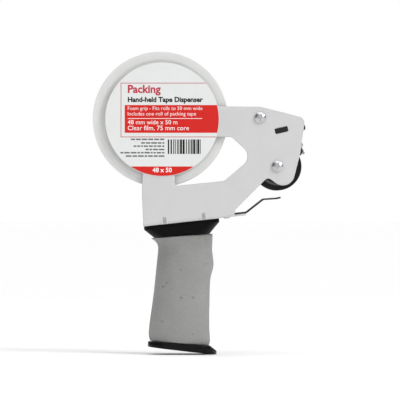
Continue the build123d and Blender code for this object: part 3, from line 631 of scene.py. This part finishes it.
paperValues = {
    "cardWhite": {"colour": (0.70, 0.715, 0.705), "faded": (0.67, 0.685, 0.675), "gloss": 0.3},
    "inkWhite": {"colour": (0.86, 0.86, 0.86), "faded": (0.82, 0.82, 0.82), "gloss": 0.35},
    "inkRed": {"colour": (0.61, 0.023, 0.019), "faded": (0.56, 0.021, 0.017), "gloss": 0.1},
    "inkRose": {"colour": (0.50, 0.045, 0.080), "faded": (0.44, 0.040, 0.070), "gloss": 0.1},
    "inkBlack": {"colour": (0.010, 0.010, 0.011), "faded": (0.018, 0.018, 0.019), "gloss": 0.1},
    "inkGrey": {"colour": (0.12, 0.12, 0.125), "faded": (0.16, 0.16, 0.165), "gloss": 0.1},
}


def makePaper(name, values):
    # coated card and the inks on it, with a faint fibre
    material, tree, shader = newMaterial(name, {"Specular IOR Level": values["gloss"]})
    grain = placeGroup(tree, grainGroup, {"Grain Scale": 1600.0, "Mottle Scale": 50.0})
    tone = addRamp(tree, grain.outputs["Mottle"], [(0.3, 0.0), (0.75, 1.0)])
    colour = mixColours(tree, tone, values["colour"], values["faded"])
    dress(tree, shader, colour, grain.outputs["Mottle"], (0.38, 0.50))
    bumpFrom(tree, shader, grain.outputs["Height"], 0.10, 0.0001)
    return material


fibreValues = {"colour": (0.16, 0.085, 0.045), "dark": (0.09, 0.05, 0.03), "roughness": (0.80, 0.95)}


def makeFibre():
    # pressed brown fibre
    values = fibreValues
    material, tree, shader = newMaterial("pressedFibre", {"Specular IOR Level": 0.2})
    grain = placeGroup(tree, grainGroup, {"Grain Scale": 1100.0, "Mottle Scale": 240.0})
    colour = mixColours(tree, grain.outputs["Mottle"], values["colour"], values["dark"])
    dress(tree, shader, colour, grain.outputs["Mottle"], values["roughness"])
    bumpFrom(tree, shader, grain.outputs["Height"], 0.4, 0.0002)
    return material


framePaint = makeFramePaint()
metals = {name: makeMetal(name, values) for name, values in metalValues.items()}
plastics = {name: makePlastic(name, values) for name, values in plasticValues.items()}
rollerRubber = makeRollerRubber()
gripFoam = makeGripFoam()
tapeFilm = makeTapeFilm()
coreBoard = makeCoreBoard()
pressedFibre = makeFibre()
papers = {name: makePaper(name, values) for name, values in paperValues.items()}

nodeFinishes = {
    "side_frame": framePaint,
    "far_cheek": framePaint,
    "cheek_rivets": metals["platedSteel"],
    "upper_spacer": plastics["holderPlastic"],
    "roller_axle": metals["platedSteel"],
    "roller_core": plastics["rollerPlastic"],
    "roller_tyre": rollerRubber,
    "roller_washers": plastics["naturalNylon"],
    "head_screws": metals["brightScrew"],
    "blade_holder": plastics["holderPlastic"],
    "cutter_blade": metals["bladeSteel"],
    "blade_screws": metals["brightScrew"],
    "guide_tongue": plastics["blackStrip"],
    "tongue_rivets": metals["platedSteel"],
    "handle_core": plastics["neckPlastic"],
    "base_cap": plastics["glossBlack"],
    "cap_screw": metals["brightScrew"],
    "handle_screws": metals["brightScrew"],
    "hub_stud": metals["platedSteel"],
    "friction_disc": pressedFibre,
    "hub": plastics["hubPlastic"],
    "spring_seat": metals["platedSteel"],
    "brake_pusher": metals["platedSteel"],
    "brake_knob": plastics["knobPlastic"],
    "knob_insert": metals["insertBrass"],
    "tape_core": coreBoard,
    "label_card": papers["cardWhite"],
}
for nodeName, finish in nodeFinishes.items():
    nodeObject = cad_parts[nodeName]
    nodeObject.data.materials.clear()
    nodeObject.data.materials.append(finish)
print("materials assigned")


# foam grip
gripSizes = {
    "lean": 4.2,
    "halfLength": 42.1,
    # share of the half length, rear edge, front edge, half width
    "stations": [
        (-1.00, -21.6, 23.6, 15.2), (-0.985, -22.3, 24.3, 15.9), (-0.93, -23.3, 24.9, 16.3),
        (-0.86, -23.8, 24.7, 16.5), (-0.72, -23.8, 23.6, 16.5), (-0.50, -23.2, 23.0, 16.3),
        (-0.25, -22.3, 22.3, 16.1), (0.05, -21.8, 21.5, 15.9), (0.24, -21.5, 21.3, 15.8),
        (0.36, -21.4, 22.3, 15.9), (0.48, -21.3, 23.5, 16.0), (0.60, -21.1, 22.6, 15.8),
        (0.76, -20.9, 21.2, 15.6), (0.83, -22.4, 21.0, 15.7), (0.885, -25.2, 20.9, 15.9),
    ],
    "collarTilt": 8.4,
    "collarBack": 3.3,
    "collarLength": 48.6,
    "collarWidth": 33.0,
    "rimLip": 0.35,
    "rimTaper": (0.99, 0.985),
    "boreLength": 34.3,
    "boreWidth": 22.3,
    "boreCorner": 10.6,
    "boreCornerSteps": 10,
    "aroundCount": 72,
    "subdivisions": 2,
    "waviness": 0.16,
    "waveSize": 11.0,
    "waveDepth": 2,
    "smoothAngle": 50.0,
}


def addGripRing(rear, front, halfWidth, up, last):
    # resizes the selected ring from the last one's size and carries it to its place
    halfLength = (front - rear) / 2
    bpy.ops.transform.resize(value=(halfLength / last["halfLength"], halfWidth / last["halfWidth"], 1),
                             center_override=(last["middle"] * mm, 0, last["up"] * mm))
    shift = ((rear + front) / 2 - last["middle"], 0, up - last["up"])
    bpy.ops.transform.translate(value=Vector(shift) * mm)
    last.update(halfLength=halfLength, halfWidth=halfWidth, middle=(rear + front) / 2, up=up)


def buildGrip():
    sizes = gripSizes
    deselectAll()
    share, rear, front, halfWidth = sizes["stations"][0]
    up = share * sizes["halfLength"]
    bpy.ops.mesh.primitive_circle_add(vertices=sizes["aroundCount"], radius=mm, fill_type="NGON",
                                      location=(0, 0, up * mm))
    grip = bpy.context.object
    grip.name = "foam_grip"
    settle(grip)
    bpy.ops.object.mode_set(mode="EDIT")
    bpy.ops.mesh.select_all(action="SELECT")
    last = {"halfLength": 1.0, "halfWidth": 1.0, "middle": 0.0, "up": up}
    addGripRing(rear, front, halfWidth, up, last)
    for share, rear, front, halfWidth in sizes["stations"][1:]:
        bpy.ops.mesh.extrude_region_move()
        addGripRing(rear, front, halfWidth, share * sizes["halfLength"], last)
    # the flared top, cut on a slant under the neck
    tilt = math.radians(sizes["collarTilt"])
    bpy.ops.mesh.extrude_region_move()
    half = sizes["collarLength"] / 2
    addGripRing(-sizes["collarBack"] - half, -sizes["collarBack"] + half, sizes["collarWidth"] / 2,
                sizes["halfLength"] - sizes["rimLip"], last)
    centre = (-sizes["collarBack"] * mm, 0, (sizes["halfLength"] - sizes["rimLip"]) * mm)
    bpy.ops.transform.rotate(value=tilt, orient_axis="Y", center_override=centre)
    bpy.ops.mesh.extrude_region_move()
    bpy.ops.transform.resize(value=(*sizes["rimTaper"], 1), center_override=centre)
    bpy.ops.transform.translate(value=(-sizes["rimLip"] * mm * math.sin(tilt), 0, sizes["rimLip"] * mm))
    bpy.ops.mesh.select_all(action="SELECT")
    bpy.ops.mesh.normals_make_consistent(inside=False)
    bpy.ops.object.mode_set(mode="OBJECT")
    applyModifier(grip, "SUBSURF", levels=sizes["subdivisions"], render_levels=sizes["subdivisions"])
    return grip


def cutGripBore(grip):
    sizes = gripSizes
    deselectAll()
    bpy.ops.mesh.primitive_cube_add(size=1.0)
    cutter = bpy.context.object
    cutter.dimensions = (sizes["boreLength"] * mm, sizes["boreWidth"] * mm, 4 * sizes["halfLength"] * mm)
    settle(cutter)
    bpy.ops.object.mode_set(mode="EDIT")
    bpy.ops.mesh.select_all(action="DESELECT")
    bpy.ops.object.mode_set(mode="OBJECT")
    for edge in cutter.data.edges:
        a, b = (cutter.data.vertices[i].co for i in edge.vertices)
        edge.select = abs(a.z - b.z) > sizes["halfLength"] * mm
    bpy.ops.object.mode_set(mode="EDIT")
    bpy.ops.mesh.bevel(offset=sizes["boreCorner"] * mm, segments=sizes["boreCornerSteps"], affect="EDGES")
    bpy.ops.object.mode_set(mode="OBJECT")
    applyModifier(grip, "BOOLEAN", operation="DIFFERENCE", object=cutter, solver="EXACT")
    bpy.data.objects.remove(cutter)


def ruffleGrip(grip):
    # the foam isn't quite even to the touch
    clouds = bpy.data.textures.new("foamWaves", "CLOUDS")
    clouds.noise_scale = gripSizes["waveSize"] * mm
    clouds.noise_depth = gripSizes["waveDepth"]
    applyModifier(grip, "DISPLACE", texture=clouds, strength=gripSizes["waviness"] * mm, mid_level=0.5,
                  texture_coords="LOCAL")


foamGrip = buildGrip()
ruffleGrip(foamGrip)
cutGripBore(foamGrip)
foamGrip.rotation_euler = (0, math.radians(gripSizes["lean"]), 0)
settle(foamGrip)
smooth(foamGrip, gripSizes["smoothAngle"])
finishPiece(foamGrip, "frame", gripFoam)
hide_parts("grip_sleeve")
print("foam grip done")


# base cap
capSizes = {
    "rear": 23.8,
    "lip": 30.6,
    "width": 33.0,
    "rearHeight": 4.4,
    "frontHeight": 6.6,
    "shoulder": 24.4,
    "slopeDrop": 3.9,
    "round": 1.2,
    "roundSteps": 5,
    "aroundCount": 66,
    "seatDepth": 2.6,
    "seatRadius": 4.2,
    "seatSteps": 48,
    "cornerAngle": 25.0,
    "smoothAngle": 35.0,
}


def cutCap(along, up, normalAlong, normalUp):
    # cuts away what lies beyond a plane across the cap, and closes the cut
    bpy.ops.mesh.select_all(action="SELECT")
    normal = Vector((normalAlong, 0, normalUp)).normalized()
    bpy.ops.mesh.bisect(plane_co=(along * mm, 0, up * mm), plane_no=normal, clear_outer=True,
                        use_fill=True)


def buildBaseCap():
    # a round-ended slab, thicker to the front, its top sloping down to the lip
    sizes = capSizes
    top = -gripSizes["halfLength"]
    radius = sizes["width"] / 2
    deselectAll()
    bpy.ops.mesh.primitive_circle_add(vertices=sizes["aroundCount"], radius=radius * mm, fill_type="NGON",
                                      location=(0, 0, (top - 2 * sizes["frontHeight"]) * mm))
    cap = bpy.context.object
    cap.name = "rounded_cap"
    settle(cap)
    for side, end in ((-1, sizes["rear"]), (1, sizes["lip"])):
        chooseVerts(cap, lambda place: place.x * side > 0)
        bpy.ops.transform.translate(value=(side * (end - radius) * mm, 0, 0))
    bpy.ops.mesh.select_all(action="SELECT")
    rise = 2 * sizes["frontHeight"] * mm
    bpy.ops.mesh.extrude_region_move(TRANSFORM_OT_translate={"value": (0, 0, rise)})
    bpy.ops.mesh.select_all(action="SELECT")
    bpy.ops.mesh.normals_make_consistent(inside=False)
    cutCap(sizes["shoulder"], top, sizes["slopeDrop"], sizes["lip"] - sizes["shoulder"])
    cutCap(-sizes["rear"], top - sizes["rearHeight"],
           sizes["rearHeight"] - sizes["frontHeight"], -sizes["lip"] - sizes["rear"])
    bpy.ops.object.mode_set(mode="OBJECT")
    applyModifier(cap, "BEVEL", width=sizes["round"] * mm, segments=sizes["roundSteps"],
                  limit_method="ANGLE", angle_limit=math.radians(sizes["cornerAngle"]))
    return cap


def cutCapSeat(cap):
    # the recess for the screw, open underneath
    sizes = capSizes
    deselectAll()
    top = -gripSizes["halfLength"]
    depth = 2 * sizes["frontHeight"]
    bpy.ops.mesh.primitive_cylinder_add(vertices=sizes["seatSteps"], radius=sizes["seatRadius"] * mm,
                                        depth=depth * mm,
                                        location=(0, 0, (top - sizes["seatDepth"] - depth / 2) * mm))
    cutter = bpy.context.object
    settle(cutter)
    applyModifier(cap, "BOOLEAN", operation="DIFFERENCE", object=cutter, solver="EXACT")
    bpy.data.objects.remove(cutter)


baseCap = buildBaseCap()
cutCapSeat(baseCap)
baseCap.rotation_euler = (0, math.radians(gripSizes["lean"]), 0)
settle(baseCap)
smooth(baseCap, capSizes["smoothAngle"])
finishPiece(baseCap, "frame", plastics["glossBlack"])
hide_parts("base_cap")
print("base cap done")


# tape roll
rollSizes = {
    "stepCount": 26,
    "steps": 168,
    "slip": 0.07,
    "slipStep": 0.08,
    "edgeRound": 0.25,
    "mergeWithin": 0.01,
    "smoothAngle": 35.0,
    "seed": 11,
}


def rollProfile():
    # half section of the wound film: outer face, and sides whose wraps sit a little in or out
    sizes = rollSizes
    chance = random.Random(sizes["seed"])
    outer = (rollHigh.x - rollLow.x) / 2 / mm
    inner = (coreHigh.x - coreLow.x) / 2 / mm
    half = (rollHigh.y - rollLow.y) / 2 / mm
    wrap = (outer - sizes["edgeRound"] - inner) / sizes["stepCount"]
    points = []
    for side in (-1, 1):
        sidePoints = [(outer, side * (half - sizes["edgeRound"])),
                      (outer - sizes["edgeRound"], side * half)]
        for i in range(1, sizes["stepCount"]):
            reach = outer - sizes["edgeRound"] - i * wrap
            slip = chance.uniform(0, sizes["slip"])
            sidePoints += [(reach + sizes["slipStep"], side * (half - slip)),
                           (reach, side * (half - slip))]
        sidePoints.append((inner, side * half))
        points += sidePoints if side < 0 else sidePoints[::-1]
    return points


def buildTapeRoll():
    # one primitive vertex is extruded along the section, which is then spun round the hub's axis
    points = rollProfile()
    deselectAll()
    bpy.ops.mesh.primitive_circle_add(vertices=3, radius=mm)
    roll = bpy.context.object
    roll.name = "wound_tape"
    bpy.ops.object.mode_set(mode="EDIT")
    bpy.ops.mesh.select_all(action="SELECT")
    bpy.ops.mesh.merge(type="CENTER")
    last = points[-1]
    bpy.ops.transform.translate(value=(hubPlace.x + last[0] * mm, hubPlace.y + last[1] * mm, hubPlace.z))
    for point in reversed(points[:-1]):
        step = ((point[0] - last[0]) * mm, (point[1] - last[1]) * mm, 0)
        bpy.ops.mesh.extrude_region_move(TRANSFORM_OT_translate={"value": step})
        last = point
    # a face closes the outline, and only its edges are kept
    bpy.ops.mesh.select_all(action="SELECT")
    bpy.ops.mesh.edge_face_add()
    bpy.ops.mesh.delete(type="ONLY_FACE")
    bpy.ops.mesh.select_all(action="SELECT")
    bpy.ops.mesh.spin(steps=rollSizes["steps"], angle=2 * math.pi, center=hubPlace, axis=(0, 1, 0))
    bpy.ops.mesh.select_all(action="SELECT")
    bpy.ops.mesh.remove_doubles(threshold=rollSizes["mergeWithin"] * mm)
    bpy.ops.mesh.normals_make_consistent(inside=False)
    bpy.ops.object.mode_set(mode="OBJECT")
    settle(roll)
    smooth(roll, rollSizes["smoothAngle"])
    return roll


tapeRoll = buildTapeRoll()
finishPiece(tapeRoll, "tape", tapeFilm)
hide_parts("tape_roll")
print("tape roll done")


# brake spring, between its seat and the pusher
springSizes = {
    "wire": 1.2,
    "turns": 4,
    "steps": 40,
    "aroundCount": 12,
    "smoothAngle": 40.0,
}


def buildSpring():
    # a ring the size of the wire is screwed round the hub's axis, and its two ends are closed
    sizes = springSizes
    low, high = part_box("brake_spring")
    wireRadius = sizes["wire"] / 2 * mm
    rise = high.y - low.y - 2 * wireRadius
    deselectAll()
    bpy.ops.mesh.primitive_circle_add(vertices=sizes["aroundCount"], radius=wireRadius,
                                      location=((high.x - low.x) / 2 - wireRadius, 0, 0))
    spring = bpy.context.object
    spring.name = "coil_spring"
    settle(spring)
    applyModifier(spring, "SCREW", axis="Y", angle=2 * math.pi, screw_offset=rise / sizes["turns"],
                  iterations=sizes["turns"], steps=sizes["steps"], render_steps=sizes["steps"])
    for end in (0, rise):
        chooseVerts(spring, lambda place: place.x > 0 and abs(place.z) < 0.01 * mm
                    and abs(place.y - end) < 1.1 * wireRadius)
        bpy.ops.mesh.edge_face_add()
    bpy.ops.mesh.select_all(action="SELECT")
    bpy.ops.mesh.normals_make_consistent(inside=False)
    bpy.ops.object.mode_set(mode="OBJECT")
    spring.location = (hubPlace.x, low.y + wireRadius, hubPlace.z)
    settle(spring)
    smooth(spring, sizes["smoothAngle"])
    return spring


brakeSpring = buildSpring()
brakeSpring.data.materials.append(metals["springWire"])
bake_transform(brakeSpring)
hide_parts("brake_spring")
print("brake spring done")


# label print, laid on the card's outer face
printSizes = {
    "ink": 0.03,
    "band": (-29.1, -10.5, 60.0, 11.1),
    "frameLine": 0.5,
    "frameLeft": -32.2,
    "frameTop": 28.4,
    "frameBottom": -13.9,
    "bottomLine": -36.5,
    "codeLeft": 4.4,
    "codeRight": 30.1,
    "codeTop": -15.6,
    "codeBottom": -26.9,
    "seed": 5,
    "smallRight": 1.7,
    # low edge and width of each line of small print
    "smallLines": [(-16.1, 26.0), (-18.9, 18.0), (-21.4, 24.5),
                   (-24.0, 14.5), (-26.5, 34.5), (-29.1, 31.0)],
    "smallHeight": 1.15,
    "smallWord": (1.4, 4.6),
    "smallGap": 0.7,
    "smallLeast": 1.2,
    "barWidths": (0.65, 0.65, 1.1, 1.6),
    "barGaps": (0.45, 0.6, 1.0),
    "barMargin": 0.5,
    "rule": (-26.7, 0.45, 31.0, 0.85),
    "trim": 0.25,
    "letterSize": 5.0,
    "letterSteps": 3,
    "edgeSteps": 160,
    "beyondCard": 60.0,
}
# words, left, low, width, layer, weight
cardWords = {
    "title": ("Packing", -26.7, 20.7, 25.6, 1, 0.16),
    "kind": ("Hand-held Tape Dispenser", -26.7, 13.6, 58.4, 1, 0.2),
    "grip": ("Foam grip - Fits rolls to 50 mm wide", -26.7, 7.3, 58.0, 2, -0.02),
    "contents": ("Includes one roll of packing tape", -26.7, 3.0, 53.0, 2, -0.02),
    "size": ("48 mm wide x 50 m", -26.7, -3.8, 38.5, 2, 0.0),
    "film": ("Clear film, 75 mm core", -26.7, -8.4, 47.5, 2, 0.0),
    "foot": ("48 x 50", -7.5, -41.0, 15.0, 2, 0.1),
}
printFace = cardLow.y


def inkPatch(left, low, right, high, level=1):
    # a thin patch of ink on the card, cut to the card's round edge; sizes in mm from the card's centre
    sizes = printSizes
    deselectAll()
    front = printFace - level * sizes["ink"] * mm
    bpy.ops.mesh.primitive_circle_add(vertices=sizes["edgeSteps"], radius=cardRadius - sizes["trim"] * mm,
                                      fill_type="NGON", rotation=(math.radians(90), 0, 0),
                                      location=(cardPlace.x, front, cardPlace.z))
    patch = bpy.context.object
    settle(patch)
    bpy.ops.object.mode_set(mode="EDIT")
    sides = [((left, 0), (-1, 0)), ((right, 0), (1, 0)), ((0, low), (0, -1)), ((0, high), (0, 1))]
    for (x, z), (nx, nz) in sides:
        bpy.ops.mesh.select_all(action="SELECT")
        bpy.ops.mesh.bisect(plane_co=(cardPlace.x + x * mm, printFace, cardPlace.z + z * mm),
                            plane_no=(nx, 0, nz), clear_outer=True)
    bpy.ops.mesh.select_all(action="SELECT")
    bpy.ops.mesh.extrude_region_move(TRANSFORM_OT_translate={"value": (0, level * sizes["ink"] * mm, 0)})
    bpy.ops.mesh.select_all(action="SELECT")
    bpy.ops.mesh.normals_make_consistent(inside=False)
    bpy.ops.object.mode_set(mode="OBJECT")
    return patch


def inkWords(words, left, low, width, level, weight):
    # generic words set to a width, as a thin mesh; weight thickens the letters
    deselectAll()
    bpy.ops.object.text_add(rotation=(math.radians(90), 0, 0))
    text = bpy.context.object
    text.data.body = words
    text.data.size = printSizes["letterSize"] * mm
    text.data.extrude = 0.5 * printSizes["ink"] * mm
    text.data.offset = weight * mm
    text.data.resolution_u = printSizes["letterSteps"]
    bpy.ops.object.convert(target="MESH")
    text = bpy.context.object
    settle(text)
    span = text.dimensions.x
    lowX = min(v.co.x for v in text.data.vertices)
    scale = width * mm / span
    text.scale = (scale, 1, scale)
    depth = printFace - (level - 0.5) * printSizes["ink"] * mm
    text.location = (cardPlace.x + left * mm - lowX * scale, depth, cardPlace.z + low * mm)
    settle(text)
    return text


def smallPrint():
    # the small print is only shown as short bars
    sizes = printSizes
    chance = random.Random(sizes["seed"])
    bars = []
    for low, width in sizes["smallLines"]:
        right = sizes["smallRight"]
        left = right - width
        while right - left > sizes["smallLeast"]:
            word = min(chance.uniform(*sizes["smallWord"]), right - left)
            bars.append(inkPatch(right - word, low, right, low + sizes["smallHeight"]))
            right -= word + sizes["smallGap"]
    return bars


def barCode():
    # bars and gaps of drawn widths, which say nothing
    sizes = printSizes
    chance = random.Random(sizes["seed"])
    bars = []
    x = sizes["codeLeft"]
    while x < sizes["codeRight"] - sizes["barMargin"]:
        wide = chance.choice(sizes["barWidths"])
        right = min(x + wide, sizes["codeRight"])
        bars.append(inkPatch(x, sizes["codeBottom"], right, sizes["codeTop"]))
        x += wide + chance.choice(sizes["barGaps"])
    return bars


def frameLines():
    sizes = printSizes
    line, left, right = sizes["frameLine"], sizes["frameLeft"], sizes["beyondCard"]
    return [
        inkPatch(left, sizes["frameBottom"], left + line, sizes["frameTop"]),
        inkPatch(left, sizes["frameTop"] - line, right, sizes["frameTop"]),
        inkPatch(left, sizes["frameBottom"], right, sizes["frameBottom"] + line),
    ]


def layPrint():
    sizes, words = printSizes, cardWords
    far = sizes["beyondCard"]
    red = [inkPatch(*sizes["band"]), inkPatch(-far, -far, far, sizes["bottomLine"])]
    rose = frameLines() + [inkWords(*words["title"])]
    black = [inkWords(*words["kind"])] + barCode()
    white = [inkWords(*words["grip"]), inkWords(*words["contents"]), inkPatch(*sizes["rule"], 2),
             inkWords(*words["size"]), inkWords(*words["film"]), inkWords(*words["foot"])]
    layers = {
        "label_red": (red, "inkRed"),
        "label_black": (black, "inkBlack"),
        "label_white": (white, "inkWhite"),
        "label_lines": (rose, "inkRose"),
        "label_small": (smallPrint(), "inkGrey"),
    }
    for name, (patches, ink) in layers.items():
        finishPiece(joinPieces(patches, name), "frame", papers[ink])


layPrint()
print("label printed")


# floor, light and camera
stageSizes = {
    "floorSize": 40.0,
    "floorColour": (0.98, 0.98, 0.98),
    "frameWidth": 310.7,
    "lens": 400.0,
    "sensor": 36.0,
    "lookX": 14.0,
    "lookZ": 70.1,
    "ambient": 0.30,
    "background": 1.0,
    "topSun": {"strength": 1.6, "spread": 70.0, "tilt": (8.0, 6.0)},
    "keySun": {"strength": 1.1, "spread": 24.0, "tilt": (56.0, 56.0)},
    "fillSun": {"strength": 0.45, "spread": 60.0, "tilt": (76.0, -8.0)},
    "frontStrip": {"place": (0.9, -0.9, 0.55), "target": (0, 0, -0.04), "size": (0.3, 0.7), "power": 2.4},
    "rearSoftbox": {"place": (-0.5, 1.2, 0.8), "target": (0, 0, 0.08), "size": (0.9, 0.7), "power": 3.0},
    "clip": (0.05, 60.0),
}


def makeFloor():
    sizes = stageSizes
    deselectAll()
    bpy.ops.mesh.primitive_plane_add(size=sizes["floorSize"], location=(0, 0, cadLow.z))
    floor = bpy.context.object
    floor.name = "studio_floor"
    settle(floor)
    material, tree, shader = newMaterial("paleFloor", {"Roughness": 0.9, "Specular IOR Level": 0.1})
    shader.inputs["Base Color"].default_value = (*sizes["floorColour"], 1)
    floor.data.materials.append(material)


def addSoftLight(name, place, target, size, power):
    deselectAll()
    bpy.ops.object.light_add(type="AREA", location=place)
    light = bpy.context.object
    light.name = name
    light.data.shape = "RECTANGLE"
    light.data.size, light.data.size_y = size
    light.data.energy = power
    light.rotation_euler = (Vector(target) - Vector(place)).to_track_quat("-Z", "Y").to_euler()


def addSun(name, strength, spread, tilt):
    # tilt is the angle off the vertical, and the turn about it from the camera's side to the right
    lean, turn = (math.radians(angle) for angle in tilt)
    deselectAll()
    bpy.ops.object.light_add(type="SUN", rotation=(lean, 0, turn))
    sun = bpy.context.object
    sun.name = name
    sun.data.energy = strength
    sun.data.angle = math.radians(spread)


def makeLight():
    sizes = stageSizes
    world = bpy.data.worlds.new("paleStudio")
    bpy.context.scene.world = world
    world.use_nodes = True
    tree = world.node_tree
    background = tree.nodes["Background"]
    background.inputs["Color"].default_value = (1, 1, 1, 1)
    path = tree.nodes.new("ShaderNodeLightPath")
    strength = tree.nodes.new("ShaderNodeMapRange")
    strength.inputs["To Min"].default_value = sizes["ambient"]
    strength.inputs["To Max"].default_value = sizes["background"]
    tree.links.new(path.outputs["Is Camera Ray"], strength.inputs["Value"])
    tree.links.new(strength.outputs["Result"], background.inputs["Strength"])
    addSun("topSun", **sizes["topSun"])
    addSun("keySun", **sizes["keySun"])
    addSun("fillSun", **sizes["fillSun"])
    addSoftLight("frontStrip", **sizes["frontStrip"])
    addSoftLight("rearSoftbox", **sizes["rearSoftbox"])


def makeCamera():
    sizes = stageSizes
    distance = sizes["frameWidth"] * mm * sizes["lens"] / sizes["sensor"]
    deselectAll()
    bpy.ops.object.camera_add(location=(sizes["lookX"] * mm, cardLow.y - distance, sizes["lookZ"] * mm),
                              rotation=(math.radians(90), 0, 0))
    camera = bpy.context.object
    camera.data.lens = sizes["lens"]
    camera.data.sensor_width = sizes["sensor"]
    camera.data.clip_start, camera.data.clip_end = sizes["clip"]
    bpy.context.scene.camera = camera


makeFloor()
makeLight()
makeCamera()
bpy.context.scene.view_settings.view_transform = "Standard"
print("stage ready")
